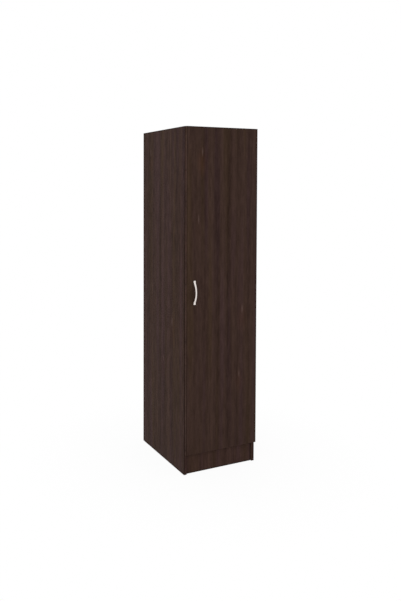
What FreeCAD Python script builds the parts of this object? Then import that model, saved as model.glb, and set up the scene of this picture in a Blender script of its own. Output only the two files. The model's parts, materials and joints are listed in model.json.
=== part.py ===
import FreeCAD, Part
import math
import os

from FreeCAD import Vector

# Tall one-door cupboard in dark wood-grain board. All lengths are in millimetres.
# +Z is up, -Y is the door side, +X is the hinge side seen from the front.
# The origin is the centre of the bounding box's bottom face.

# Carcass
height = 2000.0
width = 480.0
carcass_depth = 550.0
board_t = 18.0
plinth_recess = 9.0
plinth_height = 118.0
back_t = 3.0
back_inset = 12.0
groove_depth = 6.0
groove_play = 0.4
edge_band_t = 1.0
edge_band_round = 0.9
fixed_shelf_setback = 3.0
shelf_setback = 14.0
shelf_rear_play = 4.0
shelf_end_play = 1.0
below_shelf_count = 2
above_shelf_count = 2
overrun = 1.0

# Sides of the many-sided bars and holes that stand for small round ones
shank_sides = 6
peg_sides = 6
head_sides = 8
disc_sides = 14
cup_sides = 20

# Floor glides
glide_t = 3.0
glide_r = 8.0
glide_inset = 45.0
glide_nail_r = 1.0
glide_nail_length = 15.0

# Door
door_t = 18.0
door_gap = 2.0
door_reveal = 2.0
door_top_reveal = 1.0
door_bottom_overlap = 16.0

# Bow handle
handle_length = 138.0
handle_centres = 128.0
handle_projection = 26.0
handle_inset = 50.0
handle_height = 1056.0
handle_foot_rise = 7.0
handle_foot_length = 13.0
handle_foot_width = 14.0
handle_waist_width = 8.5
handle_bar_t = 4.5
handle_round = 0.8
handle_screw_r = 2.0
handle_screw_bite = 5.0

# Single-pivot cup hinges
hinge_shares = (0.0, 0.36, 0.64, 1.0)
hinge_end_inset = 100.0
axis_inset = 6.6
axis_ahead = 11.4
cup_r = 17.5
cup_rim_inset = 3.0
cup_wall = 0.6
cup_floor = 0.6
cup_flange_t = 1.0
cup_flange_wing = 31.0
cup_flange_width = 13.0
cup_screw_pitch = 48.0
cup_screw_offset = 6.0
cup_cheek_length = 9.0
pin_r = 1.25
pin_length = 16.0
pin_play = 0.05
knuckle_r = 2.1
knuckle_height = 9.0
knuckle_end_play = 0.3
knuckle_side_play = 0.3
arm_t = 2.0
arm_reach = 13.15
arm_width = 13.6
arm_flange_t = 1.4
arm_length = 64.0
arm_bend_r = 1.6
plate_base_t = 2.0
plate_base_width = 44.0
plate_wing_length = 13.0
plate_hole_setback = 37.0
plate_screw_pitch = 32.0
plate_rail_width = 10.0
plate_rail_front = 22.0
plate_rail_back = 62.0
arm_screw_setbacks = (28.0, 50.0)
hinge_play = 0.3

# Screws: each has a head radius, a head thickness, a shank radius and a shank length
small_screw = (3.2, 1.6, 1.75, 11.0)
plate_screw = (4.0, 2.0, 2.4, 11.0)
arm_screw = (3.4, 1.8, 2.0, 4.0)
handle_screw_head_r = 4.2
handle_screw_head_t = 2.2
screw_play = 0.05
pilot_extra = 1.0

# Cam fittings and dowels
cam_r = 7.4
cam_t = 13.2
cam_hole_r = 7.5
cam_hole_depth = 13.6
cam_inset = 24.0
cam_line = 70.0
cam_slot_width = 1.6
cam_slot_depth = 2.0
cam_slot_share = 0.75
bolt_thread_r = 2.5
bolt_bite = 11.0
bolt_head_r = 3.2
bolt_head_t = 3.0
bolt_play = 0.4
dowel_r = 4.0
dowel_in_side = 10.0
dowel_in_board = 20.0
plinth_dowel_line = 22.0
cap_r = 8.6
cap_t = 1.0

# Shelf pins
pin_row_inset = 50.0
pin_hole_r = 2.5
pin_hole_depth = 10.0
pin_hole_pitch = 32.0
pin_hole_step_count = 1
pin_shank = 8.0
pin_peg_r = 3.0
pin_peg_length = 9.0
pin_flat = 2.2

# Magnetic catch, strike plate, bumpers and wall bracket
catch_length = 46.0
catch_depth = 15.0
catch_height = 13.0
catch_from_side = 22.0
catch_pole_t = 1.2
catch_pole_gap = 5.0
catch_pole_length = 24.0
catch_proud = 0.5
catch_screw_pitch = 34.0
strike_length = 34.0
strike_height = 14.0
strike_t = 1.2
bumper_r = 5.0
bumper_t = 1.7
bumper_inset = 70.0
bracket_width = 40.0
bracket_leg = 26.0
bracket_t = 2.0
bracket_hole_r = 3.25
bracket_screw_pitch = 24.0
strip_height = 22.0
strip_wall = 0.8
strip_web = 1.0
strip_play = 0.1

# Overall places worked out from the sizes above
overall_depth = carcass_depth + door_gap + door_t + handle_projection
carcass_back = overall_depth / 2
carcass_front = carcass_back - carcass_depth
door_back = carcass_front - door_gap
door_front = door_back - door_t
half_width = width / 2
half_inner = half_width - board_t
bottom_low = glide_t + plinth_height
bottom_high = bottom_low + board_t
top_low = height - board_t
fixed_low = bottom_high + (top_low - bottom_high - board_t) / 2
fixed_high = fixed_low + board_t
back_rear = carcass_back - back_inset
back_front = back_rear - back_t
core_front = carcass_front + edge_band_t
door_left = -half_width + door_reveal
door_right = half_width - door_reveal
door_low = bottom_high - door_bottom_overlap
door_high = height - door_top_reveal
axis_x = door_right - axis_inset
axis_y = carcass_front - axis_ahead
cup_x = door_right - cup_rim_inset - cup_r
cup_in_r = cup_r - cup_wall
cup_bottom = axis_y - knuckle_r - knuckle_side_play - cup_floor
hinge_low = door_low + hinge_end_inset
hinge_high = door_high - hinge_end_inset
hinge_heights = [hinge_low + share * (hinge_high - hinge_low) for share in hinge_shares]
arm_x = axis_x - arm_reach
arm_inner = arm_x + arm_t / 2
plate_base_x = half_inner - plate_base_t
handle_x = door_left + handle_inset

up = Vector(0, 0, 1)
rearward = Vector(0, 1, 0)
rightward = Vector(1, 0, 0)


def box(x0, x1, y0, y1, z0, z1):
    """A block between two corners."""
    return Part.makeBox(x1 - x0, y1 - y0, z1 - z0, Vector(x0, y0, z0))


def rod(radius, start, direction, length):
    """A round bar of a given length from a point."""
    return Part.makeCylinder(radius, length, start, direction)


def prism(sides, radius, start, direction, length):
    """A many-sided bar for what is small and repeats: its corners lie on the given radius."""
    first = rightward if abs(direction.x) < abs(direction.y) + abs(direction.z) else up
    second = direction.cross(first)
    turn = 2 * math.pi / sides
    corners = []
    for index in range(sides):
        angle = (index + 1 / 2) * turn
        corners.append(start + first * (radius * math.cos(angle)) + second * (radius * math.sin(angle)))
    corners.append(corners[0])
    return Part.Face(Part.makePolygon(corners)).extrude(direction * length)


def edges_where(shape, test):
    """The edges of a shape whose centre and direction pass a test."""
    found = []
    for edge in shape.Edges:
        if len(edge.Vertexes) == 2:
            run = edge.Vertexes[1].Point - edge.Vertexes[0].Point
            if test(edge.CenterOfMass, run):
                found.append(edge)
    return found


def save(name, solids):
    """Write one node, as one solid or as a group of separate solids."""
    shape = solids[0] if len(solids) == 1 else Part.makeCompound(solids)
    shape.exportStep("parts/" + name + ".step")


def screw(size, seat, direction):
    """A screw: seat is where the head's underside rests, direction points into the work."""
    head_r, head_t, shank_r, shank_length = size
    head = prism(head_sides, head_r, seat, direction * -1, head_t)
    return head.fuse(prism(shank_sides, shank_r, seat, direction, shank_length))


def screw_hole(size, seat, direction):
    """The pilot hole that a screw needs below its seat."""
    return prism(shank_sides, size[2] + screw_play, seat, direction, size[3] + pilot_extra)


def clearance_hole(size, seat, direction, depth):
    """The hole for a screw's shank through a thin plate."""
    start = seat - direction * overrun
    return prism(shank_sides, size[2] + screw_play, start, direction, depth + 2 * overrun)


# Joints between the sides and the boards between them


def board_joints():
    """Cam and dowel places: the board's name, its side, a point on its end face and the cam's mouth."""
    cams = []
    dowels = []
    rear_end = back_front
    for sign in (-1, 1):
        for name, low in (("bottom", bottom_low), ("fixed", fixed_low), ("top", top_low)):
            middle = low + board_t / 2
            for y in (carcass_front + cam_line, rear_end - cam_line):
                cams.append((name, sign, Vector(sign * half_inner, y, middle), up * -1))
            y = (carcass_front + rear_end) / 2
            dowels.append((name, sign, Vector(sign * half_inner, y, middle)))
        plinth_y = carcass_front + plinth_recess + board_t / 2
        for z in (glide_t + plinth_dowel_line, bottom_low - plinth_dowel_line):
            dowels.append(("plinth", sign, Vector(sign * half_inner, plinth_y, z)))
    return cams, dowels


cam_places, dowel_places = board_joints()


def cam_centre(place):
    """The point on the cam's axis in the middle of the board's thickness."""
    name, sign, point, mouth = place
    return point - rightward * sign * cam_inset


def drill_board(shape, board):
    """Drill a board's ends and face for its cams, bolts and dowels."""
    for place in cam_places:
        name, sign, point, mouth = place
        if name == board:
            face = cam_centre(place) + mouth * (board_t / 2)
            inward = rightward * -sign
            shape = shape.cut(prism(disc_sides, cam_hole_r, face, mouth * -1, cam_hole_depth))
            shape = shape.cut(prism(shank_sides, bolt_head_r + bolt_play, point, inward, cam_inset))
    for name, sign, point in dowel_places:
        if name == board:
            depth = dowel_in_board + pilot_extra
            shape = shape.cut(prism(peg_sides, dowel_r + screw_play, point, rightward * -sign, depth))
    return shape


def cam_locks():
    """Round zinc housings with a channel for the bolt's head and a slot for the driver."""
    made = []
    for place in cam_places:
        name, sign, point, mouth = place
        centre = cam_centre(place)
        face = centre + mouth * (board_t / 2)
        body = prism(disc_sides, cam_r, face, mouth * -1, cam_t)
        outward = rightward * sign
        reach = bolt_head_t / 2 + bolt_play
        start = centre - outward * reach
        body = body.cut(prism(shank_sides, bolt_head_r + bolt_play, start, outward, cam_r + reach))
        across = outward.cross(mouth)
        half = cam_r * cam_slot_share
        corner = face - across * half - outward * (cam_slot_width / 2)
        outline = [corner, corner + across * (2 * half)]
        outline += [outline[1] + outward * cam_slot_width, corner + outward * cam_slot_width, corner]
        made.append(body.cut(Part.Face(Part.makePolygon(outline)).extrude(mouth * -cam_slot_depth)))
    return made


def cam_bolts():
    """Steel bolts screwed into the sides, each with its head inside a cam."""
    made = []
    for name, sign, point, mouth in cam_places:
        inward = rightward * -sign
        shank_length = cam_inset - bolt_head_t / 2
        bite_start = point + rightward * sign * bolt_bite
        bolt = prism(shank_sides, bolt_thread_r, bite_start, inward, bolt_bite + shank_length)
        head_start = point + inward * shank_length
        made.append(bolt.fuse(prism(shank_sides, bolt_head_r, head_start, inward, bolt_head_t)))
    return made


def cam_caps():
    """Thin covers over the cams that the open door lets one see."""
    made = []
    for place in cam_places:
        if place[0] in ("fixed", "top"):
            mouth = place[3]
            face = cam_centre(place) + mouth * (board_t / 2)
            made.append(prism(disc_sides, cap_r, face, mouth, cap_t))
    return made


def dowels():
    """Beech dowels, part in the side and part in the board's end."""
    made = []
    for name, sign, point in dowel_places:
        start = point + rightward * sign * dowel_in_side
        made.append(prism(peg_sides, dowel_r, start, rightward * -sign, dowel_in_side + dowel_in_board))
    return made


# Shelves and their pins


def bay_shelf_lows():
    """Undersides of the loose shelves, spaced evenly below and above the fixed shelf."""
    lows = []
    bays = ((bottom_high, fixed_low, below_shelf_count), (fixed_high, top_low, above_shelf_count))
    for floor, ceiling, count in bays:
        spacing = (ceiling - floor - count * board_t) / (count + 1)
        for index in range(count):
            lows.append(floor + spacing + index * (spacing + board_t))
    return lows


shelf_lows = bay_shelf_lows()
pin_rows = (carcass_front + pin_row_inset, back_front - pin_row_inset)


def shelf_pins():
    """Shoulder pegs with a flat top that the shelf lies on."""
    made = []
    for low in shelf_lows:
        for sign in (-1, 1):
            for y in pin_rows:
                seat = Vector(sign * half_inner, y, low - pin_flat)
                shank = prism(peg_sides, pin_hole_r - screw_play, seat, rightward * sign, pin_shank)
                peg = prism(peg_sides, pin_peg_r, seat, rightward * -sign, pin_peg_length)
                inner = seat.x - sign * (pin_peg_length + overrun)
                outer = seat.x + sign * overrun
                waste = box(min(inner, outer), max(inner, outer), y - pin_peg_r, y + pin_peg_r,
                            low, low + pin_peg_r)
                peg = peg.cut(waste)
                made.append(peg.fuse(shank))
    return made


def pin_holes(shape, sign):
    """Rows of shelf-pin holes in a side's inner face, around each shelf's place."""
    for low in shelf_lows:
        for step in range(-pin_hole_step_count, pin_hole_step_count + 1):
            for y in pin_rows:
                seat = Vector(sign * half_inner, y, low - pin_flat + step * pin_hole_pitch)
                shape = shape.cut(prism(peg_sides, pin_hole_r, seat, rightward * sign, pin_hole_depth))
    return shape


# Carcass boards


def hinge_plate_seats(z):
    """Where one hinge plate's two screw heads rest."""
    y = carcass_front + plate_hole_setback
    half = plate_screw_pitch / 2
    return [Vector(plate_base_x, y, z - half), Vector(plate_base_x, y, z + half)]


def side_panel(sign):
    """A side: groove for the back, holes for bolts, dowels, pins, glides and hinge plates."""
    outer = sign * half_width
    inner = sign * half_inner
    shape = box(min(outer, inner), max(outer, inner), core_front, carcass_back, glide_t, height)
    groove_end = inner + sign * groove_depth
    groove = box(min(inner, groove_end), max(inner, groove_end), back_front - groove_play / 2,
                 back_rear + groove_play / 2, bottom_high - groove_depth, top_low + groove_depth)
    shape = shape.cut(groove)
    outward = rightward * sign
    for name, side, point, mouth in cam_places:
        if side == sign:
            depth = bolt_bite + pilot_extra
            shape = shape.cut(prism(shank_sides, bolt_thread_r + screw_play, point, outward, depth))
    for name, side, point in dowel_places:
        if side == sign:
            depth = dowel_in_side + pilot_extra
            shape = shape.cut(prism(peg_sides, dowel_r + screw_play, point, outward, depth))
    shape = pin_holes(shape, sign)
    for y in (carcass_front + glide_inset, carcass_back - glide_inset):
        foot = Vector(sign * (half_width - board_t / 2), y, glide_t)
        depth = glide_nail_length + pilot_extra
        shape = shape.cut(prism(shank_sides, glide_nail_r + screw_play, foot, up, depth))
    if sign > 0:
        for z in hinge_heights:
            for seat in hinge_plate_seats(z):
                shape = shape.cut(screw_hole(plate_screw, seat, rightward))
    return shape


def back_groove(low, high):
    """The groove that the back stands in, cut in the top or bottom board."""
    return box(-half_inner - overrun, half_inner + overrun, back_front - groove_play / 2,
               back_rear + groove_play / 2, low, high)


def bottom_panel():
    shape = box(-half_inner, half_inner, core_front, carcass_back, bottom_low, bottom_high)
    shape = shape.cut(back_groove(bottom_high - groove_depth, bottom_high + overrun))
    return drill_board(shape, "bottom")


def top_panel():
    shape = box(-half_inner, half_inner, core_front, carcass_back, top_low, height)
    shape = shape.cut(back_groove(top_low - overrun, top_low + groove_depth))
    for seat in bracket_seats():
        shape = shape.cut(screw_hole(small_screw, seat + up * bracket_t, up))
    for seat in catch_seats():
        shape = shape.cut(screw_hole(catch_screw, seat, up))
    return drill_board(shape, "top")


def fixed_shelf():
    front = core_front + fixed_shelf_setback
    rear = back_front - strip_wall - strip_play - hinge_play
    shape = box(-half_inner, half_inner, front, rear, fixed_low, fixed_high)
    return drill_board(shape, "fixed")


def loose_shelf(low):
    half = half_inner - shelf_end_play
    front = core_front + shelf_setback
    return box(-half, half, front, back_front - shelf_rear_play, low, low + board_t)


def plinth_board():
    front = carcass_front + plinth_recess
    shape = box(-half_inner, half_inner, front, front + board_t, glide_t, bottom_low)
    return drill_board(shape, "plinth")


def edge_band(x0, x1, y0, y1, z0, z1, along, rounded=True):
    """An edge band with its two long outer edges eased; the outer face looks along the given way."""
    shape = box(x0, x1, y0, y1, z0, z1)
    length = max(x1 - x0, y1 - y0, z1 - z0)
    middle = shape.CenterOfMass

    def outer_long(centre, run):
        return (centre - middle).dot(along) > 0 and run.Length > length - edge_band_t

    if rounded:
        return shape.makeFillet(edge_band_round, edges_where(shape, outer_long))
    return shape.makeChamfer(edge_band_round / 2, edges_where(shape, outer_long))


def side_edge_bands():
    made = []
    for x0 in (-half_width, half_inner):
        made.append(edge_band(x0, x0 + board_t, carcass_front, core_front, glide_t, height,
                              rearward * -1))
    return made


def board_edge_bands():
    """Bands on the front edges of the top, the bottom and all the shelves."""
    made = []
    for low in (bottom_low, top_low):
        made.append(edge_band(-half_inner, half_inner, carcass_front, core_front, low,
                              low + board_t, rearward * -1, rounded=False))
    front = carcass_front + fixed_shelf_setback
    made.append(edge_band(-half_inner, half_inner, front, front + edge_band_t, fixed_low,
                          fixed_high, rearward * -1, rounded=False))
    front = carcass_front + shelf_setback
    half = half_inner - shelf_end_play
    for low in shelf_lows:
        made.append(edge_band(-half, half, front, front + edge_band_t, low, low + board_t,
                              rearward * -1, rounded=False))
    return made


# Back


def back_panels():
    """Lower and upper back sheets, which meet in a joining strip behind the fixed shelf."""
    half = half_inner + groove_depth - groove_play
    join = fixed_low + board_t / 2
    lower = box(-half, half, back_front, back_rear, bottom_high - groove_depth + groove_play,
                join - strip_web / 2 - strip_play)
    upper = box(-half, half, back_front, back_rear, join + strip_web / 2 + strip_play,
                top_low + groove_depth - groove_play)
    wall_hole = wall_hole_point()
    upper = upper.cut(prism(disc_sides, bracket_hole_r + strip_play, wall_hole, rearward,
                            bracket_t + back_t + overrun))
    return lower, upper


def joining_strip():
    """An H-section strip that holds the two back sheets edge to edge."""
    join = fixed_low + board_t / 2
    front = back_front - strip_play
    rear = back_rear + strip_play
    shape = box(-half_inner, half_inner, front, rear, join - strip_web / 2, join + strip_web / 2)
    for y in (front - strip_wall, rear):
        flange = box(-half_inner, half_inner, y, y + strip_wall, join - strip_height / 2,
                     join + strip_height / 2)
        shape = shape.fuse(flange)
    return shape.removeSplitter()


# Wall bracket


def wall_hole_point():
    """The front end of the wall hole's axis."""
    return Vector(0, back_front - bracket_t, top_low - bracket_leg / 2 - bracket_t / 2)


def bracket_seats():
    """Where the heads of the bracket's two screws rest, under its upper leg."""
    y = back_front - bracket_leg / 2 - bracket_t / 2
    half = bracket_screw_pitch / 2
    return [Vector(-half, y, top_low - bracket_t), Vector(half, y, top_low - bracket_t)]


def wall_bracket():
    """A steel angle under the top board, with a hole for a screw into the wall behind."""
    half = bracket_width / 2
    upper = box(-half, half, back_front - bracket_leg, back_front, top_low - bracket_t, top_low)
    lower = box(-half, half, back_front - bracket_t, back_front, top_low - bracket_leg, top_low)
    shape = upper.fuse(lower).removeSplitter()
    hole = rod(bracket_hole_r, wall_hole_point() - rearward * overrun, rearward,
               bracket_t + 2 * overrun)
    shape = shape.cut(hole)
    for seat in bracket_seats():
        shape = shape.cut(clearance_hole(small_screw, seat, up, bracket_t))
    return shape


# Magnetic catch

catch_screw = (small_screw[0], small_screw[1], small_screw[2], small_screw[3] + catch_height / 2)
catch_left = -half_inner + catch_from_side
catch_middle_x = catch_left + catch_length / 2
catch_low = top_low - catch_height
catch_ear_t = catch_height / 2


def catch_seats():
    """Where the catch's two screw heads rest, under its ears."""
    y = carcass_front + catch_depth / 2
    low = top_low - catch_ear_t
    half = catch_screw_pitch / 2
    return [Vector(catch_middle_x - half, y, low), Vector(catch_middle_x + half, y, low)]


def catch_housing():
    """The plastic housing: a deep middle that holds the magnet and two shallow ears."""
    y0 = carcass_front
    shape = box(catch_left, catch_left + catch_length, y0, y0 + catch_depth, top_low - catch_ear_t,
                top_low)
    half = catch_pole_length / 2
    shape = shape.fuse(box(catch_middle_x - half, catch_middle_x + half, y0, y0 + catch_depth,
                           catch_low, top_low)).removeSplitter()
    for seat in catch_seats():
        shape = shape.cut(clearance_hole(catch_screw, seat, up, catch_ear_t))
    for pole in catch_poles():
        shape = shape.cut(pole)
    return shape


def catch_poles():
    """Two steel pole plates whose front edges the strike plate meets."""
    made = []
    half = catch_pole_length / 2 - catch_pole_t
    middle = (catch_low + top_low) / 2
    for z in (middle - catch_pole_gap / 2 - catch_pole_t, middle + catch_pole_gap / 2):
        made.append(box(catch_middle_x - half, catch_middle_x + half, carcass_front - catch_proud,
                        carcass_front + catch_depth - catch_pole_t, z, z + catch_pole_t))
    return made


def strike_point():
    """The middle of the strike plate's face that looks at the catch."""
    return Vector(catch_middle_x, door_back + strike_t, (catch_low + top_low) / 2)


def strike_plate():
    point = strike_point()
    shape = box(point.x - strike_length / 2, point.x + strike_length / 2, door_back, point.y,
                point.z - strike_height / 2, point.z + strike_height / 2)
    return shape.cut(clearance_hole(strike_screw, point, rearward * -1, strike_t))


strike_screw = (small_screw[0], catch_proud, small_screw[2], small_screw[3])


def strike_recess():
    """The flat countersink that sinks the strike screw's head level with the plate."""
    point = strike_point()
    return prism(head_sides, strike_screw[0] + screw_play, point, rearward * -1, strike_screw[1])


# Floor glides


def floor_glides():
    """Nail-in plastic glides, two under each side."""
    made = []
    for sign in (-1, 1):
        for y in (carcass_front + glide_inset, carcass_back - glide_inset):
            foot = Vector(sign * (half_width - board_t / 2), y, 0)
            disc = prism(disc_sides, glide_r, foot, up, glide_t)
            nail = prism(shank_sides, glide_nail_r, foot + up * glide_t, up, glide_nail_length)
            made.append(disc.fuse(nail))
    return made


# Hinges


def cup_screw_seats(z):
    """Where one cup's two screw heads rest on its flange."""
    half = cup_screw_pitch / 2
    x = cup_x - cup_screw_offset
    y = door_back + cup_flange_t
    return [Vector(x, y, z - half), Vector(x, y, z + half)]


def hinge_cup(z):
    """The cup: a deep well with a slot for the arm, two cheeks for the pin and a screwed flange."""
    centre = Vector(cup_x, cup_bottom, z)
    depth = door_back + cup_flange_t - cup_bottom
    body = prism(cup_sides, cup_r, centre, rearward, depth)
    wing_x = cup_x - cup_screw_offset
    half_wing = cup_flange_width / 2
    wings = box(wing_x - half_wing, wing_x + half_wing, door_back, door_back + cup_flange_t,
                z - cup_flange_wing, z + cup_flange_wing)

    def wing_corner(middle, run):
        return abs(run.y) > cup_flange_t / 2

    wings = wings.makeChamfer(half_wing / 2, edges_where(wings, wing_corner))
    body = body.fuse(wings).removeSplitter()
    well_start = Vector(cup_x, cup_bottom + cup_floor, z)
    well = prism(cup_sides, cup_in_r, well_start, rearward, depth)
    slot_half = knuckle_height / 2 + knuckle_end_play
    for end in (-1, 1):
        near = z + end * slot_half
        far = z + end * cup_r
        cheek = box(axis_x - cup_cheek_length / 2, cup_x + cup_r, cup_bottom, door_back,
                    min(near, far), max(near, far))
        well = well.cut(cheek)
    body = body.cut(well)
    pin_start = Vector(axis_x, axis_y, z - pin_length / 2)
    flat_to_corner = 1 / math.cos(math.pi / head_sides)
    body = body.cut(prism(head_sides, pin_r * flat_to_corner, pin_start, up, pin_length))
    for seat in cup_screw_seats(z):
        body = body.cut(clearance_hole(small_screw, seat, rearward * -1, cup_flange_t))
    return body


def hinge_pin(z):
    return rod(pin_r, Vector(axis_x, axis_y, z - pin_length / 2), up, pin_length)


def hinge_arm(z):
    """The gooseneck arm: a knuckle on the pin, a web across the cup, a bend and a channel behind."""
    half = knuckle_height / 2
    outer = arm_x - arm_t / 2
    web_low = axis_y - arm_t / 2
    neck_end = carcass_front + hinge_play
    web = box(outer, axis_x, web_low, web_low + arm_t, z - half, z + half)
    neck = box(outer, arm_inner, web_low, neck_end, z - half, z + half)
    bent = web.fuse(neck).removeSplitter()

    def outside_bend(centre, run):
        from_corner = centre.x - outer + centre.y - web_low
        return from_corner < arm_t / 2 and abs(run.z) > half

    bent = bent.makeFillet(arm_bend_r, edges_where(bent, outside_bend))
    knuckle = prism(disc_sides, knuckle_r, Vector(axis_x, axis_y, z - half), up, knuckle_height)
    arm = bent.fuse(knuckle)
    wide = arm_width / 2
    far_end = neck_end + arm_length
    back = box(outer, arm_inner, neck_end, far_end, z - wide, z + wide)
    for end in (-1, 1):
        rim = z + end * wide
        inside = z + end * (wide - arm_flange_t)
        flange = box(outer, plate_base_x - hinge_play, carcass_front + plate_rail_front,
                     far_end, min(rim, inside), max(rim, inside))
        back = back.fuse(flange)
    arm = arm.fuse(back).removeSplitter()
    bore = rod(pin_r + pin_play, Vector(axis_x, axis_y, z - half), up, knuckle_height)
    arm = arm.cut(bore)
    for setback in arm_screw_setbacks:
        seat = Vector(outer, carcass_front + setback, z)
        arm = arm.cut(clearance_hole(arm_screw, seat, rightward, arm_t))
    return arm


def hinge_plate(z):
    """The mounting plate: two screwed wings and a raised rail that the arm's channel sits over."""
    y = carcass_front + plate_hole_setback
    half_wing = plate_wing_length / 2
    wings = box(plate_base_x, half_inner, y - half_wing, y + half_wing,
                z - plate_base_width / 2, z + plate_base_width / 2)
    corner_r = half_wing / 2

    def wing_corner(centre, run):
        return abs(run.x) > plate_base_t / 2

    wings = wings.makeChamfer(corner_r, edges_where(wings, wing_corner))
    rail = box(arm_inner, half_inner, carcass_front + plate_rail_front,
               carcass_front + plate_rail_back, z - plate_rail_width / 2, z + plate_rail_width / 2)
    shape = wings.fuse(rail).removeSplitter()
    for seat in hinge_plate_seats(z):
        shape = shape.cut(clearance_hole(plate_screw, seat, rightward, plate_base_t))
    for setback in arm_screw_setbacks:
        seat = Vector(arm_inner, carcass_front + setback, z)
        shape = shape.cut(screw_hole(arm_screw, seat, rightward))
    return shape


def hinge_screws():
    """The plate screws, the arm screws and the cup screws of all the hinges."""
    plate, arm, cup = [], [], []
    for z in hinge_heights:
        for seat in hinge_plate_seats(z):
            plate.append(screw(plate_screw, seat, rightward))
        for setback in arm_screw_setbacks:
            seat = Vector(arm_x - arm_t / 2, carcass_front + setback, z)
            arm.append(screw(arm_screw, seat, rightward))
        for seat in cup_screw_seats(z):
            cup.append(screw(small_screw, seat, rearward * -1))
    return plate, arm, cup


# Door


def handle_screw_seats():
    """Where the handle screws' heads rest on the door's back."""
    half = handle_centres / 2
    return [Vector(handle_x, door_back, handle_height - half),
            Vector(handle_x, door_back, handle_height + half)]


handle_screw = (handle_screw_head_r, handle_screw_head_t, handle_screw_r,
                door_t + handle_screw_bite)


def bumper_points():
    """Where the bumpers sit on the door's back, in front of the left side's edge."""
    x = -half_width + board_t / 2
    return [Vector(x, door_back, door_low + bumper_inset), Vector(x, door_back, door_high - bumper_inset)]


def door_panel():
    """The door's board without its edge bands, drilled for the hinges, the handle and the strike."""
    shape = box(door_left + edge_band_t, door_right - edge_band_t, door_front, door_back,
                door_low + edge_band_t, door_high - edge_band_t)
    forward = rearward * -1
    for z in hinge_heights:
        well = Vector(cup_x, door_back, z)
        depth = door_back - cup_bottom + screw_play
        shape = shape.cut(prism(cup_sides, cup_r + screw_play, well, forward, depth))
        for seat in cup_screw_seats(z):
            shape = shape.cut(screw_hole(small_screw, seat, forward))
    for seat in handle_screw_seats():
        shape = shape.cut(clearance_hole(handle_screw, seat, forward, door_t))
    shape = shape.cut(screw_hole(strike_screw, strike_point(), forward))
    return shape


def door_edge_bands():
    """Four bands round the door; the upright ones run the whole height."""
    made = []
    made.append(edge_band(door_left, door_left + edge_band_t, door_front, door_back, door_low,
                          door_high, rightward * -1))
    made.append(edge_band(door_right - edge_band_t, door_right, door_front, door_back, door_low,
                          door_high, rightward))
    left = door_left + edge_band_t
    right = door_right - edge_band_t
    made.append(edge_band(left, right, door_front, door_back, door_low, door_low + edge_band_t,
                          up * -1))
    made.append(edge_band(left, right, door_front, door_back, door_high - edge_band_t, door_high,
                          up))
    return made


def arc_through(first, middle, last):
    return Part.Arc(first, middle, last).toShape()


def bow_handle():
    """A slender bowed bar that lands on two flat feet, waisted in the middle and flared at its ends."""
    half = handle_length / 2
    foot_start = half - handle_foot_length

    def side(rise, along):
        return Vector(0, door_front - rise, handle_height + along)

    tip = handle_foot_rise - handle_round
    under_mid = handle_projection - handle_bar_t
    over = [side(handle_foot_rise, -foot_start), side(handle_projection, 0),
            side(handle_foot_rise, foot_start)]
    under = [side(0, foot_start), side(under_mid, 0), side(0, -foot_start)]
    edges = [arc_through(*over)]
    edges.append(Part.makeLine(over[2], side(tip, half)))
    edges.append(Part.makeLine(side(tip, half), side(0, half)))
    edges.append(Part.makeLine(side(0, half), under[0]))
    edges.append(arc_through(*under))
    edges.append(Part.makeLine(under[2], side(0, -half)))
    edges.append(Part.makeLine(side(0, -half), side(tip, -half)))
    edges.append(Part.makeLine(side(tip, -half), over[0]))
    profile = Part.Face(Part.Wire(edges))
    profile.translate(Vector(handle_x - handle_foot_width, 0, 0))
    bar = profile.extrude(rightward * (2 * handle_foot_width))

    waist = handle_waist_width / 2
    foot = handle_foot_width / 2

    def front(across, along):
        return Vector(handle_x + across, door_front + overrun, handle_height + along)

    outline = [arc_through(front(foot, -half), front(waist, 0), front(foot, half))]
    outline.append(Part.makeLine(front(foot, half), front(-foot, half)))
    outline.append(arc_through(front(-foot, half), front(-waist, 0), front(-foot, -half)))
    outline.append(Part.makeLine(front(-foot, -half), front(foot, -half)))
    waisted = Part.Face(Part.Wire(outline)).extrude(rearward * -(handle_projection + 2 * overrun))
    shape = bar.common(waisted)

    def seen_edge(centre, run):
        return door_front - centre.y > handle_foot_rise / 2 and abs(run.z) > handle_foot_length / 2

    shape = shape.makeChamfer(handle_round, edges_where(shape, seen_edge))
    for seat in handle_screw_seats():
        start = Vector(seat.x, door_front, seat.z)
        shape = shape.cut(prism(shank_sides, handle_screw_r + screw_play, start, rearward * -1,
                                handle_screw_bite + pilot_extra))
    return shape


def door_bumpers():
    return [prism(disc_sides, bumper_r, point, rearward, bumper_t) for point in bumper_points()]


# Write every node

os.makedirs("parts", exist_ok=True)

save("left_side_panel", [side_panel(-1)])
save("right_side_panel", [side_panel(1)])
save("top_panel", [top_panel()])
save("bottom_panel", [bottom_panel()])
save("fixed_shelf", [fixed_shelf()])
for number, shelf_low in enumerate(shelf_lows, start=1):
    save("loose_shelf_%d" % number, [loose_shelf(shelf_low)])
save("plinth_board", [plinth_board()])
save("side_edge_bands", side_edge_bands())
save("board_edge_bands", board_edge_bands())
lower_back, upper_back = back_panels()
save("lower_back_panel", [lower_back])
save("upper_back_panel", [upper_back])
save("back_joining_strip", [joining_strip()])
save("cam_locks", cam_locks())
save("cam_bolts", cam_bolts())
save("cam_caps", cam_caps())
save("dowels", dowels())
save("shelf_pins", shelf_pins())
save("floor_glides", floor_glides())
save("wall_bracket", [wall_bracket()])
save("wall_bracket_screws", [screw(small_screw, seat, up) for seat in bracket_seats()])
save("catch_housing", [catch_housing()])
save("catch_poles", catch_poles())
save("catch_screws", [screw(catch_screw, seat, up) for seat in catch_seats()])
plate_screws, arm_screws, cup_screws = hinge_screws()
for number, hinge_z in enumerate(hinge_heights, start=1):
    save("hinge_plate_%d" % number, [hinge_plate(hinge_z)])
    save("hinge_arm_%d" % number, [hinge_arm(hinge_z)])
    save("hinge_cup_%d" % number, [hinge_cup(hinge_z)])
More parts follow.
